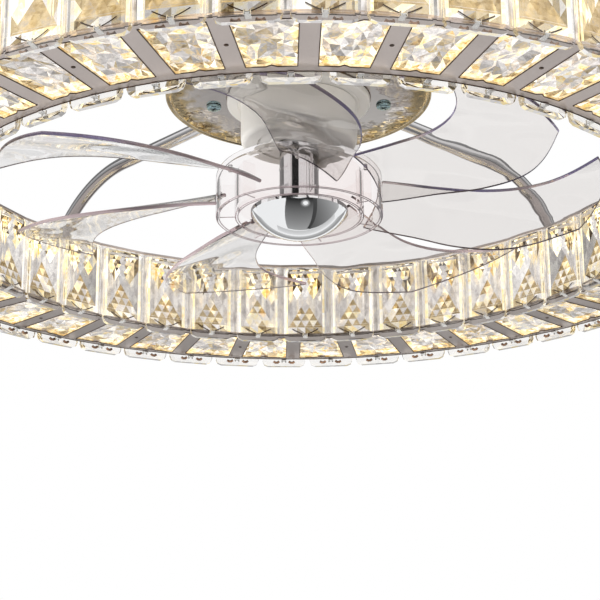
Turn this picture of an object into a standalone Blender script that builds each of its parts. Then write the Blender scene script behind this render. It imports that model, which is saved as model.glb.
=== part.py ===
"""Crystal ceiling fan: seven clear blades on a hub under a mirror canopy, inside a lit ring of cut crystals.

Metres, +Z up. The origin is the middle of the ceiling face and the fan hangs below it. -Y is the near side.
"""

import math

import bmesh
import bpy
from mathutils import Matrix, Vector

# Clearances and cuts
SEAT_GAP = 0.0003
RUN_GAP = 0.0008
CUT_OVERRUN = 0.002
MERGE = 0.00001

# Facets of the turned pieces
TURN_STEPS = 32
INNER_STEPS = 20
SMALL_STEPS = 12
HOLE_STEPS = 8
RING_STEPS = 60
LED_SIDES = 20

# Ring of sheet metal, below the ceiling face
RING_DROP = 0.120
RING_HEIGHT = 0.047
RING_INNER_RADIUS = 0.190
RING_BREADTH = 0.053
RING_SHEET = 0.0012
RING_WALL = 0.001

# Windows in the ring's underside
WINDOW_COUNT = 40
WINDOW_INNER_MARGIN = 0.006
WINDOW_OUTER_MARGIN = 0.004
WINDOW_BAR = 0.009
WINDOW_TAB_WIDTH = 0.005
WINDOW_TAB_DEPTH = 0.0016
WINDOW_BAR_TURN_SHARE = 0.141

# Crystals that hang round the ring's inner and outer walls
INNER_COUNT = 40
INNER_SPACE = 0.0033
INNER_GAP_TURN_SHARE = 0.40
OUTER_COUNT = 50
OUTER_SPACE = 0.0026
OUTER_MIDDLE_TURN_SHARE = 0.362
CRYSTAL_SLAB = 0.0026
CRYSTAL_BEVEL = 0.0032
CRYSTAL_BEVEL_RISE = 0.0014
CRYSTAL_HANG = 0.0045
CRYSTAL_TOP_MARGIN = 0.0035
WALL_WINDOW_LAP = 0.0030
WALL_WINDOW_FOOT = 0.0045

# Crystals that lie over the windows
PANE_LAP = 0.0012
PANE_SLAB = 0.0030
PANE_POINT = 0.0050

# Wire that strings each row of crystals together
STRING_WIRE = 0.0008

# LED strips inside the ring
LED_CARRIER_SHARE = 0.302
LED_CARRIER_CLEARANCE = 0.014
LED_CARRIER_WALL = 0.0012
LED_STRIP_HEIGHT = 0.010
LED_STRIP_THICKNESS = 0.0012

# Canopy against the ceiling
CANOPY_DEPTH = 0.0455
CANOPY_BORDER = 0.0295
CANOPY_LIP = 0.0035
CANOPY_LIP_THICKNESS = 0.0016
CANOPY_LIP_ROUND = 0.0004
CANOPY_SHEET = 0.001
WIRE_HOLE_RADIUS = 0.006

# Ceiling bracket
BRACKET_SHEET = 0.0015
BRACKET_SKIRT = 0.012
BRACKET_SLOT_SHARE = 0.588
BRACKET_SLOT_LENGTH = 0.014
BRACKET_SLOT_WIDTH = 0.005
BRACKET_WIRE_HOLE_RADIUS = 0.008
BRACKET_WIRE_HOLE_SHARE = 0.5

# Screws
SCREW_RADIUS = 0.002
SCREW_HEAD_RADIUS = 0.0039
SCREW_HEAD_HEIGHT = 0.0024
SCREW_CROWN_SHARE = 0.62
SCREW_HOLE_RADIUS = 0.0023
CANOPY_SCREW_CLEARANCE = 0.0075
CANOPY_SCREW_OFFSET = 0.008
CANOPY_SCREW_LENGTH = 0.006
BRACKET_SCREW_LENGTH = 0.005

# Motor bracket and electronics in the canopy
MOTOR_BRACKET_MARGIN = 0.009
MOTOR_BRACKET_WIDTH = 0.044
MOTOR_BRACKET_SHEET = 0.002
DRIVER_SIZE = (0.072, 0.026, 0.022)
DRIVER_INSET = 0.025
CONTROLLER_SIZE = (0.060, 0.024, 0.018)
CONTROLLER_INSET = 0.026
TERMINAL_SIZE = (0.030, 0.014, 0.012)
BOX_ROUND = 0.001

# Motor
BASE_BORDER = 0.0075
BASE_THICKNESS = 0.0035
BASE_ROUND = 0.0010
MOTOR_RADIUS = 0.031
MOTOR_HEIGHT = 0.0226
MOTOR_WALL = 0.0015
MOTOR_FLOOR = 0.0018
MOTOR_ROUND = 0.0030
MOTOR_STEP_SHARE = 0.726
MOTOR_STEP = 0.0008
MOTOR_MOUTH_SHARE = 0.516
BEARING_RADIUS = 0.0072
BEARING_WIDTH = 0.0050
BEARING_SPACER = 0.0024
BEARING_DROP = 0.0053
BEARING_SEAT_WALL = 0.0020
BEARING_SEAT_LIP = 0.0015
STATOR_CLEARANCE = 0.0059
STATOR_HEIGHT = 0.0105
STATOR_TEETH = 12
STATOR_YOKE_SHARE = 0.58
STATOR_TOOTH_SHARES = (0.1, 0.2, 0.8, 0.9)
MAGNET_THICKNESS = 0.0013
MAGNET_HEIGHT = 0.0125
ROTOR_WALL = 0.0013
ROTOR_WEB = 0.0018
ROTOR_COLLAR_RADIUS = 0.0085
ROTOR_COLLAR_HEIGHT = 0.0016

# Shaft, sleeve and hub
SHAFT_RADIUS = 0.004
SHAFT_HEAD_RADIUS = 0.0062
SHAFT_HEAD_HEIGHT = 0.0010
SHAFT_STUB = 0.0016
SLEEVE_RADIUS = 0.01035
SLEEVE_WALL = 0.0018
HUB_RADIUS = 0.044
HUB_CHANNEL = 0.010
HUB_WALL = 0.0018
HUB_HEIGHT = 0.0275
HUB_RISE = 0.0065
HUB_SHOULDER = 0.006
HUB_WEB_RISE = 0.004
HUB_WEB = 0.002
HUB_RIB = 0.0014
HUB_RIB_ANGLE = -80.5
HUB_NUT_WIDTH = 0.013
HUB_NUT_HEIGHT = 0.0042

# Dome cap
DOME_CLEARANCE = 0.0066
DOME_SKIRT = 0.0022
DOME_DEPTH = 0.013
DOME_SHEET = 0.001
DOME_RINGS = 6
DOME_INNER_RINGS = 3

# Blades: stations run from the hub to the tip, heights are shares of the lift above the ring's underside
BLADE_COUNT = 7
BLADE_TIP_GAP = 0.033
BLADE_TIP_BULGE = 0.003
BLADE_THICKNESS = 0.002
BLADE_LIFT = 0.027
BLADE_CAMBER = 0.0015
BLADE_ROOT_GAP = 0.0005
BLADE_HIGH_ANGLES = (-102.5, -101.0, -101.0, -106.0, -117.0)
BLADE_LOW_ANGLES = (-64.5, -70.0, -73.0, -78.5, -89.5)
BLADE_HIGH_SHARES = (1.0, 0.90, 0.82, 0.81, 0.86)
BLADE_LOW_SHARES = (0.41, 0.365, 0.29, 0.29, 0.47)
BLADE_SPAN_CUTS = 8
BLADE_CHORD_CUTS = 5
BLADE_PIN_RADIUS = 0.0015
BLADE_PIN_REACH = 0.0028
BLADE_PIN_CHORD_SHARE = 0.3

# Arms from the canopy to the ring
ARM_COUNT = 4
ARM_ANGLE = 43.5
ARM_RADIUS = 0.0038
ARM_LIFT = 0.0101
ARM_INSET = 0.005
ARM_BEND_ANGLE = 55.0
ARM_BEND_CUTS = 7
ARM_SIDES_RESOLUTION = 2
ARM_COLLAR_RADIUS = 0.0065
ARM_COLLAR_THICKNESS = 0.0018
ARM_FOOT_RADIUS = 0.0065
ARM_FOOT_LEAD = 0.002
ARM_FOOT_SHARE = 0.522
ARM_JOIN_SHARE = 0.755
ARM_FOOT_HEIGHT = 0.0062
ARM_STUD_RADIUS = 0.002
ARM_STUD_LENGTH = 0.0052
ARM_NUT_WIDTH = 0.007
ARM_NUT_HEIGHT = 0.0032
ARM_LOCKNUT_WIDTH = 0.012
ARM_LOCKNUT_HEIGHT = 0.003

# Radii and widths worked out from the sizes above
RING_OUTER_RADIUS = RING_INNER_RADIUS + RING_BREADTH
WINDOW_INNER_RADIUS = RING_INNER_RADIUS + WINDOW_INNER_MARGIN
WINDOW_OUTER_RADIUS = RING_OUTER_RADIUS - WINDOW_OUTER_MARGIN
INNER_WIDTH = 2 * RING_INNER_RADIUS * math.tan(math.pi / INNER_COUNT) - INNER_SPACE
OUTER_WIDTH = 2 * RING_OUTER_RADIUS * math.tan(math.pi / OUTER_COUNT) - OUTER_SPACE
LED_CARRIER_RADIUS = RING_INNER_RADIUS + RING_BREADTH * LED_CARRIER_SHARE
BASE_RADIUS = MOTOR_RADIUS + BASE_BORDER
CANOPY_RADIUS = BASE_RADIUS + CANOPY_BORDER
CANOPY_LIP_RADIUS = CANOPY_RADIUS + CANOPY_LIP
CANOPY_INNER_RADIUS = CANOPY_RADIUS - CANOPY_SHEET
CANOPY_SCREW_REACH = BASE_RADIUS + CANOPY_SCREW_CLEARANCE
MOTOR_INNER_RADIUS = MOTOR_RADIUS - MOTOR_WALL
BEARING_SEAT_RADIUS = BEARING_RADIUS + SEAT_GAP
BOSS_RADIUS = BEARING_SEAT_RADIUS + BEARING_SEAT_WALL
STATOR_RADIUS = MOTOR_INNER_RADIUS - STATOR_CLEARANCE
MAGNET_INNER_RADIUS = STATOR_RADIUS + RUN_GAP
ROTOR_INNER_RADIUS = MAGNET_INNER_RADIUS + MAGNET_THICKNESS + SEAT_GAP
ROTOR_RADIUS = ROTOR_INNER_RADIUS + ROTOR_WALL
SHAFT_BORE_RADIUS = SHAFT_RADIUS + SEAT_GAP
HUB_INNER_RADIUS = HUB_RADIUS - HUB_CHANNEL
DOME_RADIUS = HUB_INNER_RADIUS - HUB_WALL - DOME_CLEARANCE
BLADE_ROOT_RADIUS = HUB_RADIUS + BLADE_ROOT_GAP
BLADE_TIP_RADIUS = RING_INNER_RADIUS - BLADE_TIP_GAP

# Heights worked out from the sizes above
RING_UNDERSIDE = -RING_DROP
RING_TOPSIDE = RING_UNDERSIDE + RING_HEIGHT
PLATE_TOP = RING_UNDERSIDE + RING_SHEET
TOP_PLATE_UNDERSIDE = RING_TOPSIDE - RING_SHEET
WALL_BOTTOM = PLATE_TOP + SEAT_GAP
WALL_TOP = TOP_PLATE_UNDERSIDE - SEAT_GAP
CRYSTAL_BOTTOM = RING_UNDERSIDE - CRYSTAL_HANG
CRYSTAL_TOP = RING_TOPSIDE - CRYSTAL_TOP_MARGIN
LED_CARRIER_HEIGHT = RING_HEIGHT - LED_CARRIER_CLEARANCE
CANOPY_FLOOR = -CANOPY_DEPTH + CANOPY_SHEET
BASE_TOP = -CANOPY_DEPTH - SEAT_GAP
BASE_BOTTOM = BASE_TOP - BASE_THICKNESS
MOTOR_TOP = BASE_BOTTOM - SEAT_GAP
MOTOR_BOTTOM = MOTOR_TOP - MOTOR_HEIGHT
MOTOR_FLOOR_TOP = MOTOR_BOTTOM + MOTOR_FLOOR
UPPER_BEARING_TOP = -CANOPY_DEPTH - BEARING_DROP
UPPER_BEARING_BOTTOM = UPPER_BEARING_TOP - BEARING_WIDTH
LOWER_BEARING_TOP = UPPER_BEARING_BOTTOM - BEARING_SPACER - SEAT_GAP - SEAT_GAP
LOWER_BEARING_BOTTOM = LOWER_BEARING_TOP - BEARING_WIDTH
ROTOR_COLLAR_TOP = LOWER_BEARING_BOTTOM - RUN_GAP
ROTOR_WEB_TOP = ROTOR_COLLAR_TOP - ROTOR_COLLAR_HEIGHT
ROTOR_BOTTOM = ROTOR_WEB_TOP - ROTOR_WEB
MAGNET_BOTTOM = ROTOR_WEB_TOP + SEAT_GAP
MAGNET_TOP = MAGNET_BOTTOM + MAGNET_HEIGHT
STATOR_BOTTOM = MAGNET_BOTTOM + RUN_GAP
SHAFT_HEAD_BOTTOM = UPPER_BEARING_TOP + SEAT_GAP
SHAFT_TOP = SHAFT_HEAD_BOTTOM + SHAFT_HEAD_HEIGHT
SLEEVE_TOP = ROTOR_BOTTOM - SEAT_GAP
HUB_UNDERSIDE = RING_UNDERSIDE + HUB_RISE
HUB_TOPSIDE = HUB_UNDERSIDE + HUB_HEIGHT
HUB_WEB_UNDERSIDE = HUB_UNDERSIDE + HUB_WEB_RISE
HUB_WEB_TOP = HUB_WEB_UNDERSIDE + HUB_WEB
SLEEVE_BOTTOM = HUB_WEB_TOP + SEAT_GAP
HUB_NUT_BOTTOM = HUB_WEB_UNDERSIDE - SEAT_GAP - HUB_NUT_HEIGHT
SHAFT_BOTTOM = HUB_NUT_BOTTOM - SHAFT_STUB
DOME_TOP = HUB_WEB_UNDERSIDE - SEAT_GAP
ARM_FOOT_BOTTOM = RING_TOPSIDE + SEAT_GAP

# The arm's bend, worked out so that the tube ends in its foot on the ring
ARM_DEPTH = CANOPY_DEPTH - ARM_LIFT
ARM_INNER_RADIUS = CANOPY_INNER_RADIUS - ARM_INSET
ARM_FOOT_CENTRE = RING_INNER_RADIUS + RING_BREADTH * ARM_FOOT_SHARE
ARM_END_HEIGHT = ARM_FOOT_BOTTOM + ARM_FOOT_HEIGHT * ARM_JOIN_SHARE
ARM_BEND_RADIUS = (-ARM_DEPTH - ARM_END_HEIGHT) / (1 - math.cos(math.radians(ARM_BEND_ANGLE)))
ARM_BEND_END = ARM_FOOT_CENTRE - ARM_FOOT_LEAD
ARM_BEND_START = ARM_BEND_END - ARM_BEND_RADIUS * math.sin(math.radians(ARM_BEND_ANGLE))


def clear_objects():
    """Empty the file's scene of objects."""
    for old in list(bpy.data.objects):
        bpy.data.objects.remove(old)


def new_collection(name):
    """A collection linked to the scene."""
    made = bpy.data.collections.new(name)
    bpy.context.scene.collection.children.link(made)
    return made


def finish(name, colour, roughness, metallic=0.0, transmission=0.0):
    """A Principled material."""
    made = bpy.data.materials.new(name)
    made.use_nodes = True
    shader = made.node_tree.nodes["Principled BSDF"]
    shader.inputs["Base Color"].default_value = (*colour, 1.0)
    shader.inputs["Roughness"].default_value = roughness
    shader.inputs["Metallic"].default_value = metallic
    shader.inputs["Transmission Weight"].default_value = transmission
    return made


def place(name, data, material, group="parts"):
    """An object of the given mesh or curve, in the parts or the cutters collection."""
    made = bpy.data.objects.new(name, data)
    COLLECTIONS[group].objects.link(made)
    if material and not data.materials:
        data.materials.append(material)
    if group == "cutters":
        made.hide_render = True
        made.display_type = "WIRE"
    return made


def place_bmesh(name, form, material, group="parts"):
    """An object of the given bmesh, shaded smooth between its sharp edges."""
    mesh = bpy.data.meshes.new(name)
    form.to_mesh(mesh)
    form.free()
    mesh.shade_smooth()
    mesh.set_sharp_from_angle(angle=math.radians(30.0))
    return place(name, mesh, material, group)


def corner_radius(flat_radius, sides):
    """The radius to the corners of a polygon whose flats lie at the given radius."""
    return flat_radius / math.cos(math.pi / sides)


def turned(name, profile, material, steps=TURN_STEPS, closed=True, group="parts"):
    """A body turned about Z from (radius, height) pairs that run down its outer side."""
    count = len(profile)
    edges = [(i, (i + 1) % count) for i in range(count if closed else count - 1)]
    mesh = bpy.data.meshes.new(name)
    mesh.from_pydata([(radius, 0.0, height) for radius, height in profile], edges, [])
    made = place(name, mesh, material, group)
    screw = made.modifiers.new("Turn", "SCREW")
    screw.angle = math.tau
    screw.steps = steps
    screw.render_steps = steps
    screw.use_merge_vertices = True
    screw.merge_threshold = MERGE
    return made


def tube_profile(inner, outer, bottom, top):
    """The profile of a plain ring."""
    return [(outer, top), (outer, bottom), (inner, bottom), (inner, top)]


def polygon_band(name, inner, thickness, bottom, top, sides, turn, material):
    """A wall round Z with flat sides; a corner lies at the angle turn, and inner is measured to the flats."""
    profile = tube_profile(corner_radius(inner, sides), corner_radius(inner + thickness, sides), bottom, top)
    made = turned(name, profile, material, sides)
    made.rotation_euler.z = turn
    return made


def circle(radius, steps, centre=(0.0, 0.0), start=0.0):
    """The points of a circle in the XY plane, the first at the angle start."""
    angles = [start + math.tau * i / steps for i in range(steps)]
    return [(centre[0] + radius * math.cos(a), centre[1] + radius * math.sin(a)) for a in angles]


def flat_piece(name, outlines, bottom, thickness, material):
    """A flat piece cut from sheet: the first outline is its edge and the others are holes."""
    curve = bpy.data.curves.new(name, "CURVE")
    curve.dimensions = "2D"
    curve.fill_mode = "BOTH"
    curve.extrude = thickness / 2
    for outline in outlines:
        spline = curve.splines.new("POLY")
        spline.points.add(len(outline) - 1)
        for point, (x, y) in zip(spline.points, outline):
            point.co = (x, y, 0.0, 1.0)
        spline.use_cyclic_u = True
    made = place(name, curve, material)
    made.location.z = bottom + thickness / 2
    return made


def as_mesh(piece, *used):
    """The piece's evaluated mesh with its caps welded; the piece and what shaped it are removed."""
    bpy.context.view_layer.update()
    graph = bpy.context.evaluated_depsgraph_get()
    mesh = bpy.data.meshes.new_from_object(piece.evaluated_get(graph))
    form = bmesh.new()
    form.from_mesh(mesh)
    bmesh.ops.remove_doubles(form, verts=form.verts, dist=MERGE)
    form.to_mesh(mesh)
    form.free()
    for old in (piece, *used):
        bpy.data.objects.remove(old)
    return mesh


def boolean(piece, tool, operation):
    """Cut the piece with the tool, or join them."""
    made = piece.modifiers.new(operation.title(), "BOOLEAN")
    made.operation = operation
    made.object = tool


def cylinder_form(radius, bottom, top, sides=SMALL_STEPS):
    """A bmesh cylinder along Z."""
    form = bmesh.new()
    bmesh.ops.create_cone(
        form, cap_ends=True, segments=sides, radius1=radius, radius2=radius, depth=top - bottom
    )
    bmesh.ops.translate(form, verts=form.verts, vec=(0.0, 0.0, (bottom + top) / 2))
    return form


def block_form(low, high):
    """A bmesh box between two corners."""
    form = bmesh.new()
    bmesh.ops.create_cube(form, size=1.0)
    size = [b - a for a, b in zip(low, high)]
    bmesh.ops.scale(form, verts=form.verts, vec=size)
    bmesh.ops.translate(form, verts=form.verts, vec=[(a + b) / 2 for a, b in zip(low, high)])
    return form


def turn_form(form, angle, axis="Z"):
    """Turn a form about one of the world's axes."""
    bmesh.ops.rotate(form, verts=form.verts, cent=(0.0, 0.0, 0.0), matrix=Matrix.Rotation(angle, 3, axis))


def radial_form(radius, start, end, height, angle, sides=SMALL_STEPS):
    """A bmesh cylinder along a radius, between two distances from the axis."""
    form = cylinder_form(radius, start, end, sides)
    turn_form(form, math.pi / 2, "Y")
    bmesh.ops.translate(form, verts=form.verts, vec=(0.0, 0.0, height))
    turn_form(form, angle)
    return form


def gathered(name, forms, material=None, group="cutters"):
    """One object that holds several separate forms."""
    whole = bmesh.new()
    for form in forms:
        mesh = bpy.data.meshes.new(name)
        form.to_mesh(mesh)
        form.free()
        whole.from_mesh(mesh)
        bpy.data.meshes.remove(mesh)
    return place_bmesh(name, whole, material, group)


def turned_copies(form, angles):
    """Copies of a form turned about Z to each angle; the form itself is used up."""
    copies = []
    for angle in angles:
        copy = form.copy()
        turn_form(copy, angle)
        copies.append(copy)
    form.free()
    return copies


def steps_round(count, share):
    """Evenly spaced angles, the first one a share of a step on from the near side."""
    return [-math.pi / 2 + math.tau * (share + i) / count for i in range(count)]


def hexagon(width):
    """The outline of a hexagon that measures width across its flats."""
    return circle(corner_radius(width / 2, 6), 6)


def blend_stations(values, share):
    """A smooth curve through evenly spaced values."""
    last = len(values) - 1
    i = min(int(share * last), last - 1)
    t = share * last - i
    before = values[i - 1] if i > 0 else 2 * values[0] - values[1]
    after = values[i + 2] if i + 2 <= last else 2 * values[last] - values[last - 1]
    a, b = values[i], values[i + 1]
    square = 2 * before - 5 * a + 4 * b - after
    cube = 3 * a - before - 3 * b + after
    return 0.5 * (2 * a + (b - before) * t + square * t**2 + cube * t**3)


def blade_point(span, chord):
    """A point of the near blade's middle surface; chord 0 is its high edge and chord 1 its low edge."""
    high = blend_stations(BLADE_HIGH_ANGLES, span)
    low = blend_stations(BLADE_LOW_ANGLES, span)
    angle = math.radians(high + (low - high) * chord)
    high_share = blend_stations(BLADE_HIGH_SHARES, span)
    share = high_share + (blend_stations(BLADE_LOW_SHARES, span) - high_share) * chord
    arch = 4 * chord * (1 - chord)
    radius = BLADE_ROOT_RADIUS + (BLADE_TIP_RADIUS - BLADE_ROOT_RADIUS) * span
    radius += BLADE_TIP_BULGE * arch * span**4
    height = RING_UNDERSIDE + BLADE_LIFT * share + BLADE_CAMBER * arch
    return Vector((radius * math.cos(angle), radius * math.sin(angle), height))


def blade_pin_spot():
    """The angle and height of the pin at the root of the near blade."""
    spot = blade_point(0.0, BLADE_PIN_CHORD_SHARE)
    return math.atan2(spot.y, spot.x), spot.z


def ceiling_bracket(steel):
    """The cup that is screwed to the ceiling; the canopy's screws go into its skirt."""
    radius = CANOPY_INNER_RADIUS - SEAT_GAP
    profile = [
        (0.0, 0.0),
        (radius, 0.0),
        (radius, -BRACKET_SKIRT),
        (radius - BRACKET_SHEET, -BRACKET_SKIRT),
        (radius - BRACKET_SHEET, -BRACKET_SHEET),
        (0.0, -BRACKET_SHEET),
    ]
    made = turned("ceiling_bracket", profile, steel, closed=False)
    low, high = -BRACKET_SHEET - CUT_OVERRUN, CUT_OVERRUN
    half_width, half_length = BRACKET_SLOT_WIDTH / 2, BRACKET_SLOT_LENGTH / 2
    forms = []
    for side in (-1, 1):
        x = side * CANOPY_RADIUS * BRACKET_SLOT_SHARE
        forms.append(block_form((x - half_width, -half_length, low), (x + half_width, half_length, high)))
    hole = cylinder_form(BRACKET_WIRE_HOLE_RADIUS, low, high)
    bmesh.ops.translate(hole, verts=hole.verts, vec=(0.0, -CANOPY_RADIUS * BRACKET_WIRE_HOLE_SHARE, 0.0))
    forms.append(hole)
    boolean(made, gathered("bracket_cuts", forms + bracket_screw_holes()), "DIFFERENCE")


def bracket_screw_holes():
    """Holes through the canopy's wall and the bracket's skirt for the two side screws."""
    start, end = CANOPY_INNER_RADIUS - BRACKET_SHEET - CUT_OVERRUN, CANOPY_RADIUS + CUT_OVERRUN
    return [
        radial_form(SCREW_HOLE_RADIUS, start, end, -BRACKET_SKIRT / 2, side * math.pi / 2) for side in (-1, 1)
    ]


def canopy(mirror):
    """The mirror-polished pan that covers the ceiling bracket and carries the motor and the arms."""
    lip_top = -CANOPY_DEPTH + CANOPY_LIP_THICKNESS
    rounded = CANOPY_LIP_RADIUS - CANOPY_LIP_ROUND
    profile = [
        (CANOPY_INNER_RADIUS, -SEAT_GAP),
        (CANOPY_RADIUS, -SEAT_GAP),
        (CANOPY_RADIUS, lip_top),
        (rounded, lip_top),
        (CANOPY_LIP_RADIUS, lip_top - CANOPY_LIP_ROUND),
        (CANOPY_LIP_RADIUS, -CANOPY_DEPTH + CANOPY_LIP_ROUND),
        (rounded, -CANOPY_DEPTH),
        (WIRE_HOLE_RADIUS, -CANOPY_DEPTH),
        (WIRE_HOLE_RADIUS, CANOPY_FLOOR),
        (CANOPY_INNER_RADIUS, CANOPY_FLOOR),
    ]
    made = turned("canopy", profile, mirror)
    start, end = CANOPY_INNER_RADIUS - CUT_OVERRUN, CANOPY_RADIUS + CUT_OVERRUN
    forms = [radial_form(ARM_RADIUS + SEAT_GAP, start, end, -ARM_DEPTH, angle) for angle in arm_angles()]
    forms += canopy_screw_holes() + bracket_screw_holes()
    boolean(made, gathered("canopy_cuts", forms), "DIFFERENCE")


def canopy_screw_spots():
    """The places of the two screws under the canopy."""
    return [(side * CANOPY_SCREW_REACH, CANOPY_SCREW_OFFSET) for side in (-1, 1)]


def canopy_screw_holes():
    """Holes through the canopy's floor for the two screws."""
    forms = []
    for x, y in canopy_screw_spots():
        hole = cylinder_form(SCREW_HOLE_RADIUS, -CANOPY_DEPTH - CUT_OVERRUN, CANOPY_FLOOR + CUT_OVERRUN)
        bmesh.ops.translate(hole, verts=hole.verts, vec=(x, y, 0.0))
        forms.append(hole)
    return forms


def pan_screw(name, length, material):
    """A pan-head screw that points up, with the underside of its head at its origin."""
    profile = [
        (0.0, length),
        (SCREW_RADIUS, length),
        (SCREW_RADIUS, 0.0),
        (SCREW_HEAD_RADIUS, 0.0),
        (SCREW_HEAD_RADIUS, -SCREW_HEAD_HEIGHT / 2),
        (SCREW_HEAD_RADIUS * SCREW_CROWN_SHARE, -SCREW_HEAD_HEIGHT),
        (0.0, -SCREW_HEAD_HEIGHT),
    ]
    return turned(name, profile, material, SMALL_STEPS, closed=False)


def screws(steel):
    """The two screws under the canopy and the two in its sides."""
    for i, (x, y) in enumerate(canopy_screw_spots(), 1):
        screw = pan_screw(f"canopy_screw_{i}", CANOPY_SCREW_LENGTH, steel)
        screw.location = (x, y, -CANOPY_DEPTH - SEAT_GAP)
    for i, side in enumerate((-1, 1), 1):
        screw = pan_screw(f"bracket_screw_{i}", BRACKET_SCREW_LENGTH, steel)
        screw.rotation_euler.x = side * math.pi / 2
        screw.location = (0.0, side * (CANOPY_RADIUS + SEAT_GAP), -BRACKET_SKIRT / 2)


def motor_bracket(steel):
    """The plate inside the canopy's floor that spreads the motor's weight."""
    x, y = CANOPY_SCREW_REACH + MOTOR_BRACKET_MARGIN, MOTOR_BRACKET_WIDTH / 2
    outlines = [[(-x, -y), (x, -y), (x, y), (-x, y)], circle(WIRE_HOLE_RADIUS, SMALL_STEPS)]
    outlines += [circle(SCREW_HOLE_RADIUS, SMALL_STEPS, spot) for spot in canopy_screw_spots()]
    flat_piece("motor_bracket", outlines, CANOPY_FLOOR + SEAT_GAP, MOTOR_BRACKET_SHEET, steel)


def electronics(plastic, dark):
    """The LED driver and the fan controller on the canopy's floor, and the terminal block on the bracket."""
    floor = CANOPY_FLOOR + SEAT_GAP
    bracket_top = floor + MOTOR_BRACKET_SHEET + SEAT_GAP
    pieces = (
        ("led_driver", DRIVER_SIZE, CANOPY_INNER_RADIUS - DRIVER_INSET, floor, plastic),
        ("fan_controller", CONTROLLER_SIZE, CONTROLLER_INSET - CANOPY_INNER_RADIUS, floor, plastic),
        ("terminal_block", TERMINAL_SIZE, 0.0, bracket_top, dark),
    )
    for name, (length, width, height), offset, bottom, material in pieces:
        low = (-length / 2, offset - width / 2, bottom)
        high = (length / 2, offset + width / 2, bottom + height)
        made = place_bmesh(name, block_form(low, high), material)
        bevel = made.modifiers.new("Round", "BEVEL")
        bevel.width = BOX_ROUND
        bevel.segments = 1


def motor_base(white):
    """The white disc under the canopy, with the boss that holds the bearings."""
    profile = [
        (BEARING_SEAT_RADIUS, BASE_TOP),
        (BASE_RADIUS, BASE_TOP),
        (BASE_RADIUS, BASE_BOTTOM + BASE_ROUND),
        (BASE_RADIUS - BASE_ROUND, BASE_BOTTOM),
        (BOSS_RADIUS, BASE_BOTTOM),
        (BOSS_RADIUS, LOWER_BEARING_BOTTOM),
        (BEARING_SEAT_RADIUS, LOWER_BEARING_BOTTOM),
        (BEARING_SEAT_RADIUS, LOWER_BEARING_TOP + SEAT_GAP),
        (BEARING_SEAT_RADIUS - BEARING_SEAT_LIP, LOWER_BEARING_TOP + SEAT_GAP),
        (BEARING_SEAT_RADIUS - BEARING_SEAT_LIP, UPPER_BEARING_BOTTOM - SEAT_GAP),
        (BEARING_SEAT_RADIUS, UPPER_BEARING_BOTTOM - SEAT_GAP),
    ]
    turned("motor_base", profile, white, INNER_STEPS)


def motor_housing(white):
    """The rounded cup round the motor, stepped underneath, with the mouth that the sleeve passes."""
    inner = MOTOR_INNER_RADIUS
    round_cut = MOTOR_ROUND * (1 - math.sqrt(0.5))
    mouth = SLEEVE_RADIUS + RUN_GAP
    step = MOTOR_RADIUS * MOTOR_STEP_SHARE
    step_end = MOTOR_RADIUS * MOTOR_MOUTH_SHARE
    profile = [
        (inner, MOTOR_TOP),
        (MOTOR_RADIUS, MOTOR_TOP),
        (MOTOR_RADIUS, MOTOR_BOTTOM + MOTOR_ROUND),
        (MOTOR_RADIUS - round_cut, MOTOR_BOTTOM + round_cut),
        (MOTOR_RADIUS - MOTOR_ROUND, MOTOR_BOTTOM),
        (step, MOTOR_BOTTOM),
        (step - MOTOR_STEP, MOTOR_BOTTOM + MOTOR_STEP),
        (step_end, MOTOR_BOTTOM + MOTOR_STEP),
        (step_end - MOTOR_STEP, MOTOR_BOTTOM),
        (mouth, MOTOR_BOTTOM),
        (mouth, MOTOR_FLOOR_TOP),
        (inner - round_cut, MOTOR_FLOOR_TOP),
        (inner, MOTOR_FLOOR_TOP + round_cut),
    ]
    turned("motor_housing", profile, white)


def stator(copper):
    """The toothed stack round the bearing boss."""
    bore = BOSS_RADIUS + SEAT_GAP
    yoke = STATOR_RADIUS * STATOR_YOKE_SHARE
    outline = []
    for i in range(STATOR_TEETH):
        for radius, share in zip((yoke, STATOR_RADIUS, STATOR_RADIUS, yoke), STATOR_TOOTH_SHARES):
            angle = math.tau * (i + share) / STATOR_TEETH
            outline.append((radius * math.cos(angle), radius * math.sin(angle)))
    flat_piece("stator", [outline, circle(bore, INNER_STEPS)], STATOR_BOTTOM, STATOR_HEIGHT, copper)


def bearings(steel):
    """The two ball bearings, as plain rings."""
    tops = {"bearing_upper": UPPER_BEARING_TOP, "bearing_lower": LOWER_BEARING_TOP}
    for name, top in tops.items():
        profile = tube_profile(SHAFT_BORE_RADIUS, BEARING_RADIUS, top - BEARING_WIDTH, top)
        turned(name, profile, steel, INNER_STEPS)


def shaft(steel):
    """The shaft, whose head hangs on the upper bearing."""
    profile = [
        (0.0, SHAFT_TOP),
        (SHAFT_HEAD_RADIUS, SHAFT_TOP),
        (SHAFT_HEAD_RADIUS, SHAFT_HEAD_BOTTOM),
        (SHAFT_RADIUS, SHAFT_HEAD_BOTTOM),
        (SHAFT_RADIUS, SHAFT_BOTTOM),
        (0.0, SHAFT_BOTTOM),
    ]
    turned("shaft", profile, steel, INNER_STEPS, closed=False)


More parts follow.
